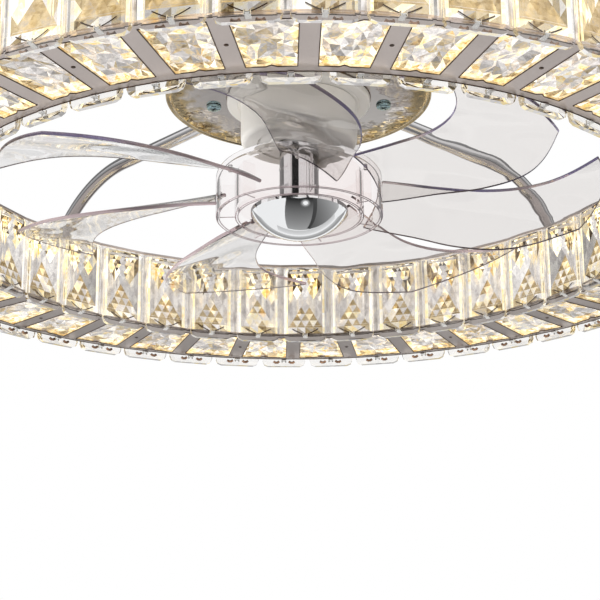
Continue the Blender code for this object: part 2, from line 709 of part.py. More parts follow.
def rotor(steel, dark):
    """The motor's turning can and the magnet ring inside it."""
    profile = [
        (SHAFT_BORE_RADIUS, ROTOR_COLLAR_TOP),
        (ROTOR_COLLAR_RADIUS, ROTOR_COLLAR_TOP),
        (ROTOR_COLLAR_RADIUS, ROTOR_WEB_TOP),
        (ROTOR_INNER_RADIUS, ROTOR_WEB_TOP),
        (ROTOR_INNER_RADIUS, MAGNET_TOP),
        (ROTOR_RADIUS, MAGNET_TOP),
        (ROTOR_RADIUS, ROTOR_BOTTOM),
        (SHAFT_BORE_RADIUS, ROTOR_BOTTOM),
    ]
    turned("rotor_can", profile, steel, INNER_STEPS)
    magnet_radius = MAGNET_INNER_RADIUS + MAGNET_THICKNESS
    magnet = tube_profile(MAGNET_INNER_RADIUS, magnet_radius, MAGNET_BOTTOM, MAGNET_TOP)
    turned("rotor_magnet", magnet, dark, INNER_STEPS)


def hub_sleeve(chrome):
    """The chrome sleeve round the shaft, between the rotor and the hub."""
    profile = tube_profile(SLEEVE_RADIUS - SLEEVE_WALL, SLEEVE_RADIUS, SLEEVE_BOTTOM, SLEEVE_TOP)
    turned("hub_sleeve", profile, chrome)


def hub_drum(clear):
    """The clear drum that the blades stand on: two walls with ribs between them, and a web on the shaft."""
    shoulder = HUB_SHOULDER * (1 - math.sqrt(0.5))
    inside = HUB_RADIUS - HUB_WALL
    inner = HUB_INNER_RADIUS - HUB_WALL
    top, bottom = HUB_TOPSIDE, HUB_UNDERSIDE
    ceiling = top - HUB_WALL
    bore = SLEEVE_RADIUS + SEAT_GAP
    profile = [
        (bore, top),
        (HUB_RADIUS - HUB_SHOULDER, top),
        (HUB_RADIUS - shoulder, top - shoulder),
        (HUB_RADIUS, top - HUB_SHOULDER),
        (HUB_RADIUS, bottom),
        (inside, bottom),
        (inside, ceiling - HUB_SHOULDER),
        (inside - HUB_SHOULDER, ceiling),
        (HUB_INNER_RADIUS, ceiling),
        (HUB_INNER_RADIUS, bottom),
        (inner, bottom),
        (inner, HUB_WEB_UNDERSIDE),
        (SHAFT_BORE_RADIUS, HUB_WEB_UNDERSIDE),
        (SHAFT_BORE_RADIUS, HUB_WEB_TOP),
        (inner, HUB_WEB_TOP),
        (inner, ceiling),
        (bore, ceiling),
    ]
    made = turned("hub_drum", profile, clear)
    turns = [math.radians(HUB_RIB_ANGLE) + math.tau * i / BLADE_COUNT for i in range(BLADE_COUNT)]
    low = (HUB_INNER_RADIUS - HUB_WALL / 2, -HUB_RIB / 2, bottom + HUB_RIB)
    high = (HUB_RADIUS - HUB_WALL / 2, HUB_RIB / 2, ceiling - HUB_SHOULDER)
    boolean(made, gathered("hub_ribs", turned_copies(block_form(low, high), turns)), "UNION")
    angle, height = blade_pin_spot()
    start, end = inside - CUT_OVERRUN, HUB_RADIUS + CUT_OVERRUN
    hole = radial_form(BLADE_PIN_RADIUS + SEAT_GAP, start, end, height, angle, HOLE_STEPS)
    turns = [math.tau * i / BLADE_COUNT for i in range(BLADE_COUNT)]
    boolean(made, gathered("hub_pin_holes", turned_copies(hole, turns)), "DIFFERENCE")


def hub_nut(steel):
    """The nut that clamps the hub on the shaft."""
    outlines = [hexagon(HUB_NUT_WIDTH), circle(SHAFT_BORE_RADIUS, INNER_STEPS)]
    flat_piece("hub_nut", outlines, HUB_NUT_BOTTOM, HUB_NUT_HEIGHT, steel)


def dome_cap(mirror):
    """The mirror dome under the hub, a cap of a sphere with a short skirt."""
    sphere = (DOME_RADIUS**2 + DOME_DEPTH**2) / (2 * DOME_DEPTH)
    widest = math.asin(DOME_RADIUS / sphere)
    rim = DOME_TOP - DOME_SKIRT
    centre = rim + sphere - DOME_DEPTH
    shell = sphere - DOME_SHEET
    narrower = math.asin((DOME_RADIUS - DOME_SHEET) / shell)
    outer = [widest * (1 - i / DOME_RINGS) for i in range(DOME_RINGS + 1)]
    inner = [narrower * i / DOME_INNER_RINGS for i in range(DOME_INNER_RINGS + 1)]
    outside = [(sphere * math.sin(a), centre - sphere * math.cos(a)) for a in outer]
    inside = [(shell * math.sin(a), centre - shell * math.cos(a)) for a in inner]
    profile = [*inside, (DOME_RADIUS - DOME_SHEET, DOME_TOP), (DOME_RADIUS, DOME_TOP), *outside]
    turned("dome_cap", profile, mirror, closed=False)


def blades(clear):
    """The seven blades, each a thin twisted shell with a pin at its root."""
    form = bmesh.new()
    bmesh.ops.create_grid(form, x_segments=BLADE_SPAN_CUTS, y_segments=BLADE_CHORD_CUTS, size=0.5)
    for vert in form.verts:
        vert.co = blade_point(vert.co.x + 0.5, vert.co.y + 0.5)
    shell = place_bmesh("blade_shell", form, clear)
    solidify = shell.modifiers.new("Thickness", "SOLIDIFY")
    solidify.thickness = BLADE_THICKNESS
    solidify.offset = 0.0
    solidify.use_even_offset = True
    angle, height = blade_pin_spot()
    start, end = BLADE_ROOT_RADIUS - BLADE_PIN_REACH, BLADE_ROOT_RADIUS + BLADE_THICKNESS
    pin = place_bmesh(
        "blade_pin", radial_form(BLADE_PIN_RADIUS, start, end, height, angle, HOLE_STEPS), None, "cutters"
    )
    boolean(shell, pin, "UNION")
    mesh = as_mesh(shell, pin)
    for i in range(BLADE_COUNT):
        blade = place(f"blade_{i + 1}", mesh, clear)
        blade.rotation_euler.z = math.tau * i / BLADE_COUNT


def arm_angles():
    """The directions of the arms."""
    return [math.radians(ARM_ANGLE) + math.tau * i / ARM_COUNT for i in range(ARM_COUNT)]


def arm_route():
    """The arm's centre line in the XZ plane: straight out of the canopy, then bent down to its foot."""
    centre = -ARM_DEPTH - ARM_BEND_RADIUS
    points = [(ARM_INNER_RADIUS, 0.0, -ARM_DEPTH)]
    for i in range(ARM_BEND_CUTS + 1):
        angle = math.radians(ARM_BEND_ANGLE) * i / ARM_BEND_CUTS
        x = ARM_BEND_START + ARM_BEND_RADIUS * math.sin(angle)
        points.append((x, 0.0, centre + ARM_BEND_RADIUS * math.cos(angle)))
    return points


def arms(chrome, steel):
    """The four chrome arms with their collars, feet and studs, and the nuts at both of their ends."""
    curve = bpy.data.curves.new("arm", "CURVE")
    curve.dimensions = "3D"
    curve.bevel_depth = ARM_RADIUS
    curve.bevel_resolution = ARM_SIDES_RESOLUTION
    curve.use_fill_caps = True
    route = arm_route()
    spline = curve.splines.new("POLY")
    spline.points.add(len(route) - 1)
    for point, spot in zip(spline.points, route):
        point.co = (*spot, 1.0)
    tube = place("arm_tube", as_mesh(place("arm_curve", curve, chrome)), chrome)
    start = CANOPY_RADIUS + SEAT_GAP
    collar = radial_form(ARM_COLLAR_RADIUS, start, start + ARM_COLLAR_THICKNESS, -ARM_DEPTH, 0.0)
    foot = cylinder_form(ARM_FOOT_RADIUS, ARM_FOOT_BOTTOM, ARM_FOOT_BOTTOM + ARM_FOOT_HEIGHT)
    stud_end = ARM_FOOT_BOTTOM - SEAT_GAP - ARM_STUD_LENGTH
    stud = cylinder_form(ARM_STUD_RADIUS, stud_end, ARM_FOOT_BOTTOM + ARM_FOOT_HEIGHT / 2, HOLE_STEPS)
    tools = [place_bmesh("arm_collar", collar, None, "cutters")]
    for name, form in (("arm_foot", foot), ("arm_stud", stud)):
        bmesh.ops.translate(form, verts=form.verts, vec=(ARM_FOOT_CENTRE, 0.0, 0.0))
        tools.append(place_bmesh(name, form, None, "cutters"))
    for tool in tools:
        boolean(tube, tool, "UNION")
    mesh = as_mesh(tube, *tools)
    for i, angle in enumerate(arm_angles(), 1):
        place(f"arm_{i}", mesh, chrome).rotation_euler.z = angle
        arm_nuts(i, angle, steel)


def arm_nuts(number, angle, steel):
    """The nut under the ring's top plate and the locknut inside the canopy."""
    direction = Vector((math.cos(angle), math.sin(angle), 0.0))
    outlines = [hexagon(ARM_NUT_WIDTH), circle(ARM_STUD_RADIUS + SEAT_GAP, HOLE_STEPS)]
    bottom = TOP_PLATE_UNDERSIDE - SEAT_GAP - ARM_NUT_HEIGHT
    nut = flat_piece(f"arm_nut_{number}", outlines, bottom, ARM_NUT_HEIGHT, steel)
    nut.location += direction * ARM_FOOT_CENTRE
    outlines = [hexagon(ARM_LOCKNUT_WIDTH), circle(ARM_RADIUS + SEAT_GAP, HOLE_STEPS)]
    locknut = flat_piece(f"arm_locknut_{number}", outlines, 0.0, ARM_LOCKNUT_HEIGHT, steel)
    corner = corner_radius(ARM_LOCKNUT_WIDTH / 2, 6)
    outer_face = math.sqrt(CANOPY_INNER_RADIUS**2 - corner**2) - SEAT_GAP - SEAT_GAP
    locknut.rotation_euler = (0.0, math.pi / 2, angle)
    locknut.location = direction * (outer_face - ARM_LOCKNUT_HEIGHT / 2) - Vector((0.0, 0.0, ARM_DEPTH))


def window_outline(angle):
    """One window of the ring's underside: parallel bars beside it and a small tab on its inner edge."""
    half_step = math.pi / WINDOW_COUNT
    across = Vector((-math.sin(angle), math.cos(angle)))
    out = Vector((math.cos(angle), math.sin(angle)))

    def corner(radius, side):
        half_width = radius * math.sin(half_step) - WINDOW_BAR / 2
        return out * radius * math.cos(half_step) + across * side * half_width

    middle = out * WINDOW_INNER_RADIUS * math.cos(half_step)
    tab = across * WINDOW_TAB_WIDTH / 2
    return [
        corner(WINDOW_INNER_RADIUS, -1),
        middle - tab,
        middle + out * WINDOW_TAB_DEPTH,
        middle + tab,
        corner(WINDOW_INNER_RADIUS, 1),
        corner(WINDOW_OUTER_RADIUS, 1),
        corner(WINDOW_OUTER_RADIUS, -1),
    ]


def ring_plates(satin):
    """The pierced plate under the ring and the plain one on top, with the holes for the arms' studs."""
    turn = steps_round(INNER_COUNT, INNER_GAP_TURN_SHARE)[0]
    inner = circle(corner_radius(RING_INNER_RADIUS, INNER_COUNT), INNER_COUNT, start=turn)
    edges = [circle(RING_OUTER_RADIUS, RING_STEPS), inner]
    windows = [window_outline(a) for a in steps_round(WINDOW_COUNT, WINDOW_BAR_TURN_SHARE + 0.5)]
    flat_piece("ring_bottom_plate", edges + windows, RING_UNDERSIDE, RING_SHEET, satin)
    spots = [(ARM_FOOT_CENTRE * math.cos(a), ARM_FOOT_CENTRE * math.sin(a)) for a in arm_angles()]
    holes = [circle(ARM_STUD_RADIUS + SEAT_GAP, HOLE_STEPS, spot) for spot in spots]
    flat_piece("ring_top_plate", edges + holes, TOP_PLATE_UNDERSIDE, RING_SHEET, satin)


def wall_windows(name, radius, width, middles):
    """The openings behind a row of crystals."""
    low = (radius - RING_WALL - CUT_OVERRUN, -width / 2, WALL_BOTTOM + WALL_WINDOW_FOOT)
    high = (radius + RING_WALL + CUT_OVERRUN, width / 2, CRYSTAL_TOP - WALL_WINDOW_LAP)
    return gathered(name, turned_copies(block_form(low, high), middles))


def ring_walls(satin):
    """The ring's inner and outer walls, flat behind each crystal and open there for the light."""
    rows = (
        ("ring_inner_wall", RING_INNER_RADIUS, INNER_COUNT, INNER_GAP_TURN_SHARE, INNER_WIDTH),
        (
            "ring_outer_wall",
            RING_OUTER_RADIUS - RING_WALL,
            OUTER_COUNT,
            OUTER_MIDDLE_TURN_SHARE - 0.5,
            OUTER_WIDTH,
        ),
    )
    for name, radius, count, share, width in rows:
        corner = steps_round(count, share)[0]
        wall = polygon_band(name, radius, RING_WALL, WALL_BOTTOM, WALL_TOP, count, corner, satin)
        opening = width - WALL_WINDOW_LAP - WALL_WINDOW_LAP
        cuts = wall_windows(name + "_cuts", radius, opening, steps_round(count, share + 0.5))
        boolean(wall, cuts, "DIFFERENCE")


def crystal_form(back, width, facing):
    """One hanging crystal at angle 0: a slab with a bevelled front."""
    low = (min(back, back + facing * CRYSTAL_SLAB), -width / 2, CRYSTAL_BOTTOM)
    high = (max(back, back + facing * CRYSTAL_SLAB), width / 2, CRYSTAL_TOP)
    form = block_form(low, high)
    form.normal_update()
    front = [face for face in form.faces if face.normal.x * facing > 0.5]
    bmesh.ops.inset_individual(form, faces=front, thickness=CRYSTAL_BEVEL, depth=CRYSTAL_BEVEL_RISE)
    return form


def crystal_rows(crystal):
    """The crystals inside and outside the ring, each row on its string of wire."""
    inner_back = RING_INNER_RADIUS - SEAT_GAP
    outer_back = RING_OUTER_RADIUS + SEAT_GAP
    rows = (
        ("inner_crystals", inner_back, -1, INNER_COUNT, INNER_GAP_TURN_SHARE, INNER_WIDTH),
        ("outer_crystals", outer_back, 1, OUTER_COUNT, OUTER_MIDDLE_TURN_SHARE - 0.5, OUTER_WIDTH),
    )
    for name, back, facing, count, share, width in rows:
        flat = back + (facing * CRYSTAL_SLAB - STRING_WIRE) / 2
        bottom = RING_UNDERSIDE - STRING_WIRE
        corner = steps_round(count, share + 0.5)[0]
        string = polygon_band(name, flat, STRING_WIRE, bottom, RING_UNDERSIDE, count, corner, crystal)
        form = crystal_form(back, width, facing)
        crystals = gathered(name + "_cut", turned_copies(form, steps_round(count, share + 0.5)), crystal)
        boolean(string, crystals, "UNION")


def pane_form():
    """One crystal over a window, at angle 0: a wedge-shaped slab with a low pyramid on top."""
    half_step = math.pi / WINDOW_COUNT
    inner = WINDOW_INNER_RADIUS * math.cos(half_step) - PANE_LAP
    outer = WINDOW_OUTER_RADIUS * math.cos(half_step) + PANE_LAP
    bottom = PLATE_TOP + SEAT_GAP
    form = block_form((inner, -1.0, bottom), (outer, 1.0, bottom + PANE_SLAB))
    for vert in form.verts:
        vert.co.y *= vert.co.x * math.tan(half_step) - WINDOW_BAR / 2 + PANE_LAP
    form.normal_update()
    top = [face for face in form.faces if face.normal.z > 0.5]
    bmesh.ops.poke(form, faces=top, offset=PANE_POINT)
    return form


def window_crystals(crystal):
    """The crystals over the windows, on their string of wire."""
    bottom = PLATE_TOP + SEAT_GAP + (PANE_SLAB - STRING_WIRE) / 2
    middle = (WINDOW_INNER_RADIUS + WINDOW_OUTER_RADIUS) / 2
    turns = steps_round(WINDOW_COUNT, WINDOW_BAR_TURN_SHARE + 0.5)
    name = "window_crystals"
    top = bottom + STRING_WIRE
    string = polygon_band(name, middle, STRING_WIRE, bottom, top, WINDOW_COUNT, turns[0], crystal)
    boolean(string, gathered(name + "_cut", turned_copies(pane_form(), turns), crystal), "UNION")


def led_strips(white, light):
    """The band that hangs from the top plate and the LED strips on both of its faces."""
    corner = steps_round(INNER_COUNT, INNER_GAP_TURN_SHARE)[0]
    bottom = WALL_TOP - LED_CARRIER_HEIGHT
    radius = LED_CARRIER_RADIUS
    polygon_band("led_carrier", radius, LED_CARRIER_WALL, bottom, WALL_TOP, LED_SIDES, corner, white)
    inner = radius - SEAT_GAP - LED_STRIP_THICKNESS
    outer = radius + LED_CARRIER_WALL + SEAT_GAP
    low = bottom + (LED_CARRIER_HEIGHT - LED_STRIP_HEIGHT) / 2
    for name, flat in (("led_strip_inner", inner), ("led_strip_outer", outer)):
        polygon_band(name, flat, LED_STRIP_THICKNESS, low, low + LED_STRIP_HEIGHT, LED_SIDES, corner, light)


def build():
    """Every piece of the fan."""
    zinc = finish("zinc_steel", (0.55, 0.56, 0.57), 0.35, metallic=1.0)
    mirror = finish("mirror_steel", (0.80, 0.78, 0.76), 0.05, metallic=1.0)
    chrome = finish("chrome", (0.86, 0.86, 0.87), 0.06, metallic=1.0)
    satin = finish("satin_steel", (0.42, 0.38, 0.36), 0.32, metallic=1.0)
    white = finish("white_plastic", (0.83, 0.81, 0.78), 0.35)
    dark = finish("dark_plastic", (0.05, 0.05, 0.055), 0.5)
    copper = finish("wound_copper", (0.55, 0.27, 0.12), 0.4, metallic=1.0)
    clear = finish("clear_acrylic", (0.92, 0.90, 0.91), 0.05, transmission=1.0)
    crystal = finish("crystal", (1.0, 0.98, 0.95), 0.0, transmission=1.0)
    light = finish("warm_led", (1.0, 0.84, 0.58), 0.4)
    ceiling_bracket(zinc)
    canopy(mirror)
    screws(zinc)
    motor_bracket(zinc)
    electronics(white, dark)
    motor_base(white)
    motor_housing(white)
    stator(copper)
    bearings(zinc)
    shaft(zinc)
    rotor(zinc, dark)
    hub_sleeve(chrome)
    hub_drum(clear)
    hub_nut(zinc)
    dome_cap(mirror)
    blades(clear)
    arms(chrome, zinc)
    ring_plates(satin)
    ring_walls(satin)
    crystal_rows(crystal)
    window_crystals(crystal)
    led_strips(white, light)


clear_objects()
COLLECTIONS = {"parts": new_collection("crystal_ceiling_fan"), "cutters": new_collection("cutters")}
build()
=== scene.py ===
"""Crystal ceiling fan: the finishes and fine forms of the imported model.

Metres, +Z up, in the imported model's own frame.
The origin is the middle of the ceiling face, and -Y is the near side.
"""

import math
import random
from collections import namedtuple

import bmesh
import bpy
from bpy.props import FloatProperty, FloatVectorProperty, IntProperty, PointerProperty
from mathutils import Matrix, Vector


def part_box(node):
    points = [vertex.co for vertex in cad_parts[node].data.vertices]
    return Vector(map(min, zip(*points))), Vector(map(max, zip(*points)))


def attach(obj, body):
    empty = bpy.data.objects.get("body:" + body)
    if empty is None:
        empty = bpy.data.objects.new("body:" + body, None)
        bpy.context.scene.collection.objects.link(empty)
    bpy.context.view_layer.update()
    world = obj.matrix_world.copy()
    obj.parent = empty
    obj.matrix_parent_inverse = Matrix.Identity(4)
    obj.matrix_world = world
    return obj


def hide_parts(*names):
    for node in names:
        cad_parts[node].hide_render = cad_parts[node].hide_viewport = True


bl_info = {
    "name": "Crystal Ceiling Fan",
    "version": (1, 0, 0),
    "blender": (4, 5, 0),
    "location": "3D View > Sidebar > Ceiling Fan",
    "description": "Builds the finishes and fine forms of a crystal ceiling fan",
    "category": "Object",
}

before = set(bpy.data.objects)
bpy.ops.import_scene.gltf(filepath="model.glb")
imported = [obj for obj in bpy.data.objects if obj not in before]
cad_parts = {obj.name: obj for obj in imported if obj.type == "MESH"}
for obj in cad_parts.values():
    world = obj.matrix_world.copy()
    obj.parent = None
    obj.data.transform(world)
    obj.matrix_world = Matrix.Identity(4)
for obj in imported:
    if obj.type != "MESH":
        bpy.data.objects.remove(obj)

NEAR = -math.pi / 2
SEED = 7
# A profile's point at a smaller radius lies on its axis
ON_AXIS = 1e-7

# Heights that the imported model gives
RING_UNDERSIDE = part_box("ring_bottom_plate")[0].z
RING_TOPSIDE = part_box("ring_top_plate")[1].z
PLATE_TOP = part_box("ring_bottom_plate")[1].z
CRYSTAL_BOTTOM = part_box("inner_crystals")[0].z
CRYSTAL_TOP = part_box("inner_crystals")[1].z
PANE_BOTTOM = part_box("window_crystals")[0].z
CANOPY_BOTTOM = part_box("canopy")[0].z
CANOPY_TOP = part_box("canopy")[1].z
DRUM_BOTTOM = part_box("hub_drum")[0].z
DRUM_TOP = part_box("hub_drum")[1].z
DOME_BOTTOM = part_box("dome_cap")[0].z
DOME_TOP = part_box("dome_cap")[1].z
SLEEVE_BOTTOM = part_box("hub_sleeve")[0].z
SLEEVE_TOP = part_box("hub_sleeve")[1].z
BASE_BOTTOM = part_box("motor_base")[0].z
BASE_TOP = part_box("motor_base")[1].z
HOUSING_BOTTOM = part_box("motor_housing")[0].z
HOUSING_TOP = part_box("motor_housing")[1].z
ARM_FOOT_BOTTOM = RING_TOPSIDE + 0.0003

# The blade's stations from the hub to the tip: its edges' angles, and their heights as shares of the lift
BLADE_COUNT = 7
BLADE_HIGH_ANGLES = (-102.5, -101.0, -101.0, -106.0, -117.0)
BLADE_LOW_ANGLES = (-64.5, -70.0, -73.0, -78.5, -89.5)
BLADE_HIGH_SHARES = (1.0, 0.90, 0.82, 0.81, 0.86)
BLADE_LOW_SHARES = (0.41, 0.365, 0.29, 0.29, 0.47)
BLADE_ROOT_RADIUS = 0.0445
BLADE_TIP_RADIUS = 0.157
BLADE_TIP_BULGE = 0.003
BLADE_LIFT = 0.027
BLADE_CAMBER = 0.0015
SPAN_CUTS = 44
CHORD_CUTS = 18

CANOPY_RADIUS = 0.068

# The arms: their angles, the height and points of the straight part, the bend in degrees, and the foot
ARM_ANGLES = [math.radians(43.5) + math.tau * i / 4 for i in range(4)]
ARM_AXIS = -0.0354
ARM_STRAIGHT = (0.062, 0.1, 0.13)
ARM_BEND_START = 0.153
ARM_BEND_RADIUS = 0.0765
ARM_BEND = 55.0
ARM_FOOT_CENTRE = 0.21767

# The hanging crystals' cut: heights above their bottom, widths in from their sides, depths and corners
CUT_SILL, CUT_FOOT, CUT_CROWN = 0.0053, 0.0093, 0.0470
CUT_FRAME, CUT_BORDER = 0.0016, 0.0030
CRYSTAL_SLAB, CRYSTAL_RISE = 0.0026, 0.0014
CRYSTAL_CORNER, CRYSTAL_FRONT_CORNER = 0.0035, 0.0006

# The windows in the ring's underside, the bars between them and the rims of the plate
WINDOW_COUNT = 40
WINDOW_SHARE = 0.641
WINDOW_INNER, WINDOW_OUTER = 0.196, 0.239
WINDOW_BAR = 0.009
HALF_STEP = math.pi / WINDOW_COUNT
PLATE_INNER_RIM, PLATE_OUTER_RIM = 0.1905, 0.2425

# The crystals over the windows: how far they lap the plate, and their top's height and unevenness
PANE_MARGIN = 0.0012
PANE_RIM_HEIGHT, PANE_RISE = 0.003, 0.0042
PANE_HEIGHT_CHANGES = (-0.0012, 0.0006)
PANE_JITTER = 0.0017

# The room's floor, and the cards just above it
FLOOR_HEIGHT = -2.4
CARD_HEIGHT = FLOOR_HEIGHT + 0.01
WHITE = (1.0, 1.0, 1.0, 1.0)


# Settings


def colour_setting(name, description, colour):
    """A colour that the panel offers."""
    return FloatVectorProperty(name=name, description=description, subtype="COLOR", default=colour)


def size_setting(name, description, size):
    """A length that the panel offers."""
    return FloatProperty(name=name, description=description, unit="LENGTH", default=size)


class CrystalSettings(bpy.types.PropertyGroup):
    """Sizes and colours of the cut crystals."""

    bevel: size_setting("Bevel", "Width of a crystal's bevelled border", 0.0032)
    point: size_setting("Point", "Depth of the cut at a crystal's back", 0.0055)
    glass: colour_setting("Glass", "Colour of the crystal", (0.96, 0.95, 0.935))
    glow: FloatProperty(name="Glow", description="Strength of the light in the facets", default=0.48, min=0.0)
    pane_cells: IntProperty(name="Pane cells", description="Facets along a window", default=9, min=2)


class RingSettings(bpy.types.PropertyGroup):
    """Colours of the ring's metal."""

    satin: colour_setting("Satin steel", "Colour of the brushed plates", (0.54, 0.48, 0.45))
    # This colour also draws the dark lines of painted shade along the cut edges.
    bronze: colour_setting("Bronze wire", "Colour of the pins and cut edges", (0.055, 0.032, 0.02))
    clip: colour_setting("Clips", "Colour of the crystals' clips", (0.86, 0.85, 0.83))


class FanSettings(bpy.types.PropertyGroup):
    """Sizes and colours of the hub, the blades and the motor."""

    blade_thickness: size_setting("Blade thickness", "Thickness of a blade", 0.0018)
    acrylic: colour_setting("Blades", "Colour of the clear blades", (0.837, 0.815, 0.80))
    edge: colour_setting("Blade edges", "Colour of the blades' edges", (0.36, 0.29, 0.30))
    drum: colour_setting("Drum", "Colour of the clear drum", (0.975, 0.955, 0.95))
    # The colour of the dark lines painted on the drum in place of its refraction lines.
    drum_edge: colour_setting("Drum edges", "Colour of the drum's edges", (0.22, 0.175, 0.18))
    white: colour_setting("White", "Colour of the motor's plastic", (0.88, 0.86, 0.83))


class CanopySettings(bpy.types.PropertyGroup):
    """Sizes and colours of the canopy and the arms."""

    mirror: colour_setting("Mirror", "Colour of the mirror-polished steel", (0.72, 0.68, 0.65))
    chrome: colour_setting("Chrome", "Colour of the chrome", (0.84, 0.83, 0.84))
    arm_radius: size_setting("Arm radius", "Radius of an arm", 0.0038)


class StageSettings(bpy.types.PropertyGroup):
    """The studio."""

    ambient: FloatProperty(name="Ambient", description="Strength of the soft light", default=0.75, min=0.0)
    key: FloatProperty(name="Key", description="Power of the key lamp", default=38.0, unit="POWER", min=0.0)


SETTINGS = {
    "fan_crystals": CrystalSettings,
    "fan_ring": RingSettings,
    "fan_rotor": FanSettings,
    "fan_canopy": CanopySettings,
    "fan_stage": StageSettings,
}


# Shader nodes


def put(node, key, value):
    """Set a node's input to a constant, or feed it from another node's output."""
    if isinstance(value, bpy.types.NodeSocket):
        node.id_data.links.new(value, node.inputs[key])
    else:
        node.inputs[key].default_value = value


def feed(node, **inputs):
    """Put a value in each named input; an underscore stands for a space."""
    for name, value in inputs.items():
        put(node, name.replace("_", " "), value)


def add_node(tree, kind, output, *values, settings=None, **inputs):
    """An output of a new node, whose inputs take values in order or by name."""
    node = tree.nodes.new(kind)
    for name, value in (settings or {}).items():
        setattr(node, name, value)
    for number, value in enumerate(values):
        put(node, number, value)
    feed(node, **inputs)
    return node.outputs[output]


def calculate(tree, operation, *values):
    """The result of a calculation with outputs and constants."""
    return add_node(tree, "ShaderNodeMath", "Value", *values, settings={"operation": operation})


def map_range(tree, value, low, high, first=0.0, last=1.0):
    """A value between two limits, carried over to two others."""
    return add_node(
        tree, "ShaderNodeMapRange", "Result",
        Value=value, From_Min=low, From_Max=high, To_Min=first, To_Max=last,
    )


def mix_colours(tree, share, first, second):
    """A mix of two colours."""
    settings = {"data_type": "RGBA"}
    return add_node(tree, "ShaderNodeMix", "Result", settings=settings, Factor=share, A=first, B=second)


def object_place(tree):
    """A point's place in the object's own space."""
    return add_node(tree, "ShaderNodeTexCoord", "Object")


def object_axis(tree, axis):
    """A point's place along one of the object's axes."""
    return add_node(tree, "ShaderNodeSeparateXYZ", axis, object_place(tree))


def axis_distance(tree):
    """How far a point is from the object's Z axis."""
    level = (1.0, 1.0, 0.0)
    flat = add_node(
        tree, "ShaderNodeVectorMath", "Vector", object_place(tree), level, settings={"operation": "MULTIPLY"}
    )
    return add_node(tree, "ShaderNodeVectorMath", "Value", flat, settings={"operation": "LENGTH"})


def object_noise(tree, scale, stretch=(1.0, 1.0, 1.0), detail=2.0):
    """A noise texture in the object's own space, stretched along its axes."""
    place = add_node(tree, "ShaderNodeMapping", "Vector", Vector=object_place(tree), Scale=stretch)
    return add_node(tree, "ShaderNodeTexNoise", "Fac", Vector=place, Scale=scale, Detail=detail)


def object_cells(tree, output, scale):
    """An output of a cell texture in the object's own space."""
    return add_node(tree, "ShaderNodeTexVoronoi", output, Vector=object_place(tree), Scale=scale)


def add_ramp(tree, source, stops):
    """A colour ramp fed by the source, from (place, colour) pairs."""
    ramp = tree.nodes.new("ShaderNodeValToRGB")
    elements = ramp.color_ramp.elements
    while len(elements) < len(stops):
        elements.new(0.5)
    for element, (place, colour) in zip(elements, stops):
        element.position = place
        element.color = (*colour, 1.0)
    put(ramp, "Fac", source)
    return ramp.outputs["Color"]


def scaled(colour, *shares):
    """A colour times one share, or times one each for its red, green and blue, and at most 1."""
    if len(shares) == 1:
        shares = shares * 3
    return [min(1.0, c * share) for c, share in zip(colour, shares)]


# Materials


def new_finish(name, colour, roughness, **values):
    """A new material with constants on its Principled shader; gives its tree and its shader too."""
    made = bpy.data.materials.new(name)
    made.use_nodes = True
    shader = made.node_tree.nodes["Principled BSDF"]
    feed(shader, Base_Color=(*colour, 1.0), Roughness=roughness, **values)
    return made, made.node_tree, shader


def add_bump(tree, shader, height, strength, distance):
    """Bump the shader by a texture's height."""
    bump = add_node(
        tree, "ShaderNodeBump", "Normal", Height=height, Strength=strength, Distance=distance
    )
    feed(shader, Normal=bump)


def vary_roughness(tree, shader, source, low, high):
    """Let the roughness follow a texture between two values."""
    feed(shader, Roughness=map_range(tree, source, 0.0, 1.0, low, high))


def satin_steel(colour):
    """Brushed steel sheet with a faint grain and soft random tone changes; painted lighter towards the near
    side, standing in for the brighter reflection there.
    """
    made, tree, shader = new_finish("satin_steel", colour, 0.34, Metallic=1.0)
    grain = object_noise(tree, 900.0, (1.0, 1.0, 0.2), 3.0)
    tone = object_noise(tree, 22.0, detail=1.0)
    # Painted reflection: the colour lightens towards the near side (-Y).
    painted_near_light = calculate(tree, "MULTIPLY_ADD", object_axis(tree, "Y"), -1.5, tone)
    stops = [(0.2, scaled(colour, 0.96)), (0.8, scaled(colour, 1.38))]
    feed(shader, Base_Color=add_ramp(tree, painted_near_light, stops))
    vary_roughness(tree, shader, grain, 0.26, 0.44)
    add_bump(tree, shader, grain, 0.12, 0.0002)
    return made


def painted_glow_wall():
    """The ring's polished walls, with a painted warm glow that stands in for the LED light between the
    crystals.
    """
    made, tree, shader = new_finish("painted_glow_wall", (0.66, 0.62, 0.58), 0.22, Metallic=0.85)
    tone = object_noise(tree, 260.0, (1.0, 1.0, 0.5))
    stops = [(0.30, (0.52, 0.48, 0.45)), (0.5, (0.80, 0.77, 0.75)), (0.72, (0.96, 0.86, 0.64))]
    colour = add_ramp(tree, tone, stops)
    # Painted light: the walls glow warm, though they are no lamp.
    feed(shader, Base_Color=colour, Emission_Color=colour, Emission_Strength=0.32)
    return made


def painted_glow_edge():
    """The thickness of the plates at the windows, with a painted gold glow that stands in for the light from
    inside the ring.
    """
    made, tree, shader = new_finish("painted_glow_edge", (0.85, 0.68, 0.40), 0.3, Metallic=0.7)
    stops = [(0.35, (0.60, 0.42, 0.18)), (0.65, (1.0, 0.88, 0.60))]
    colour = add_ramp(tree, object_noise(tree, 380.0), stops)
    # Painted light: the cut faces glow gold, though they are no lamp.
    feed(shader, Base_Color=colour, Emission_Color=colour, Emission_Strength=0.35)
    return made


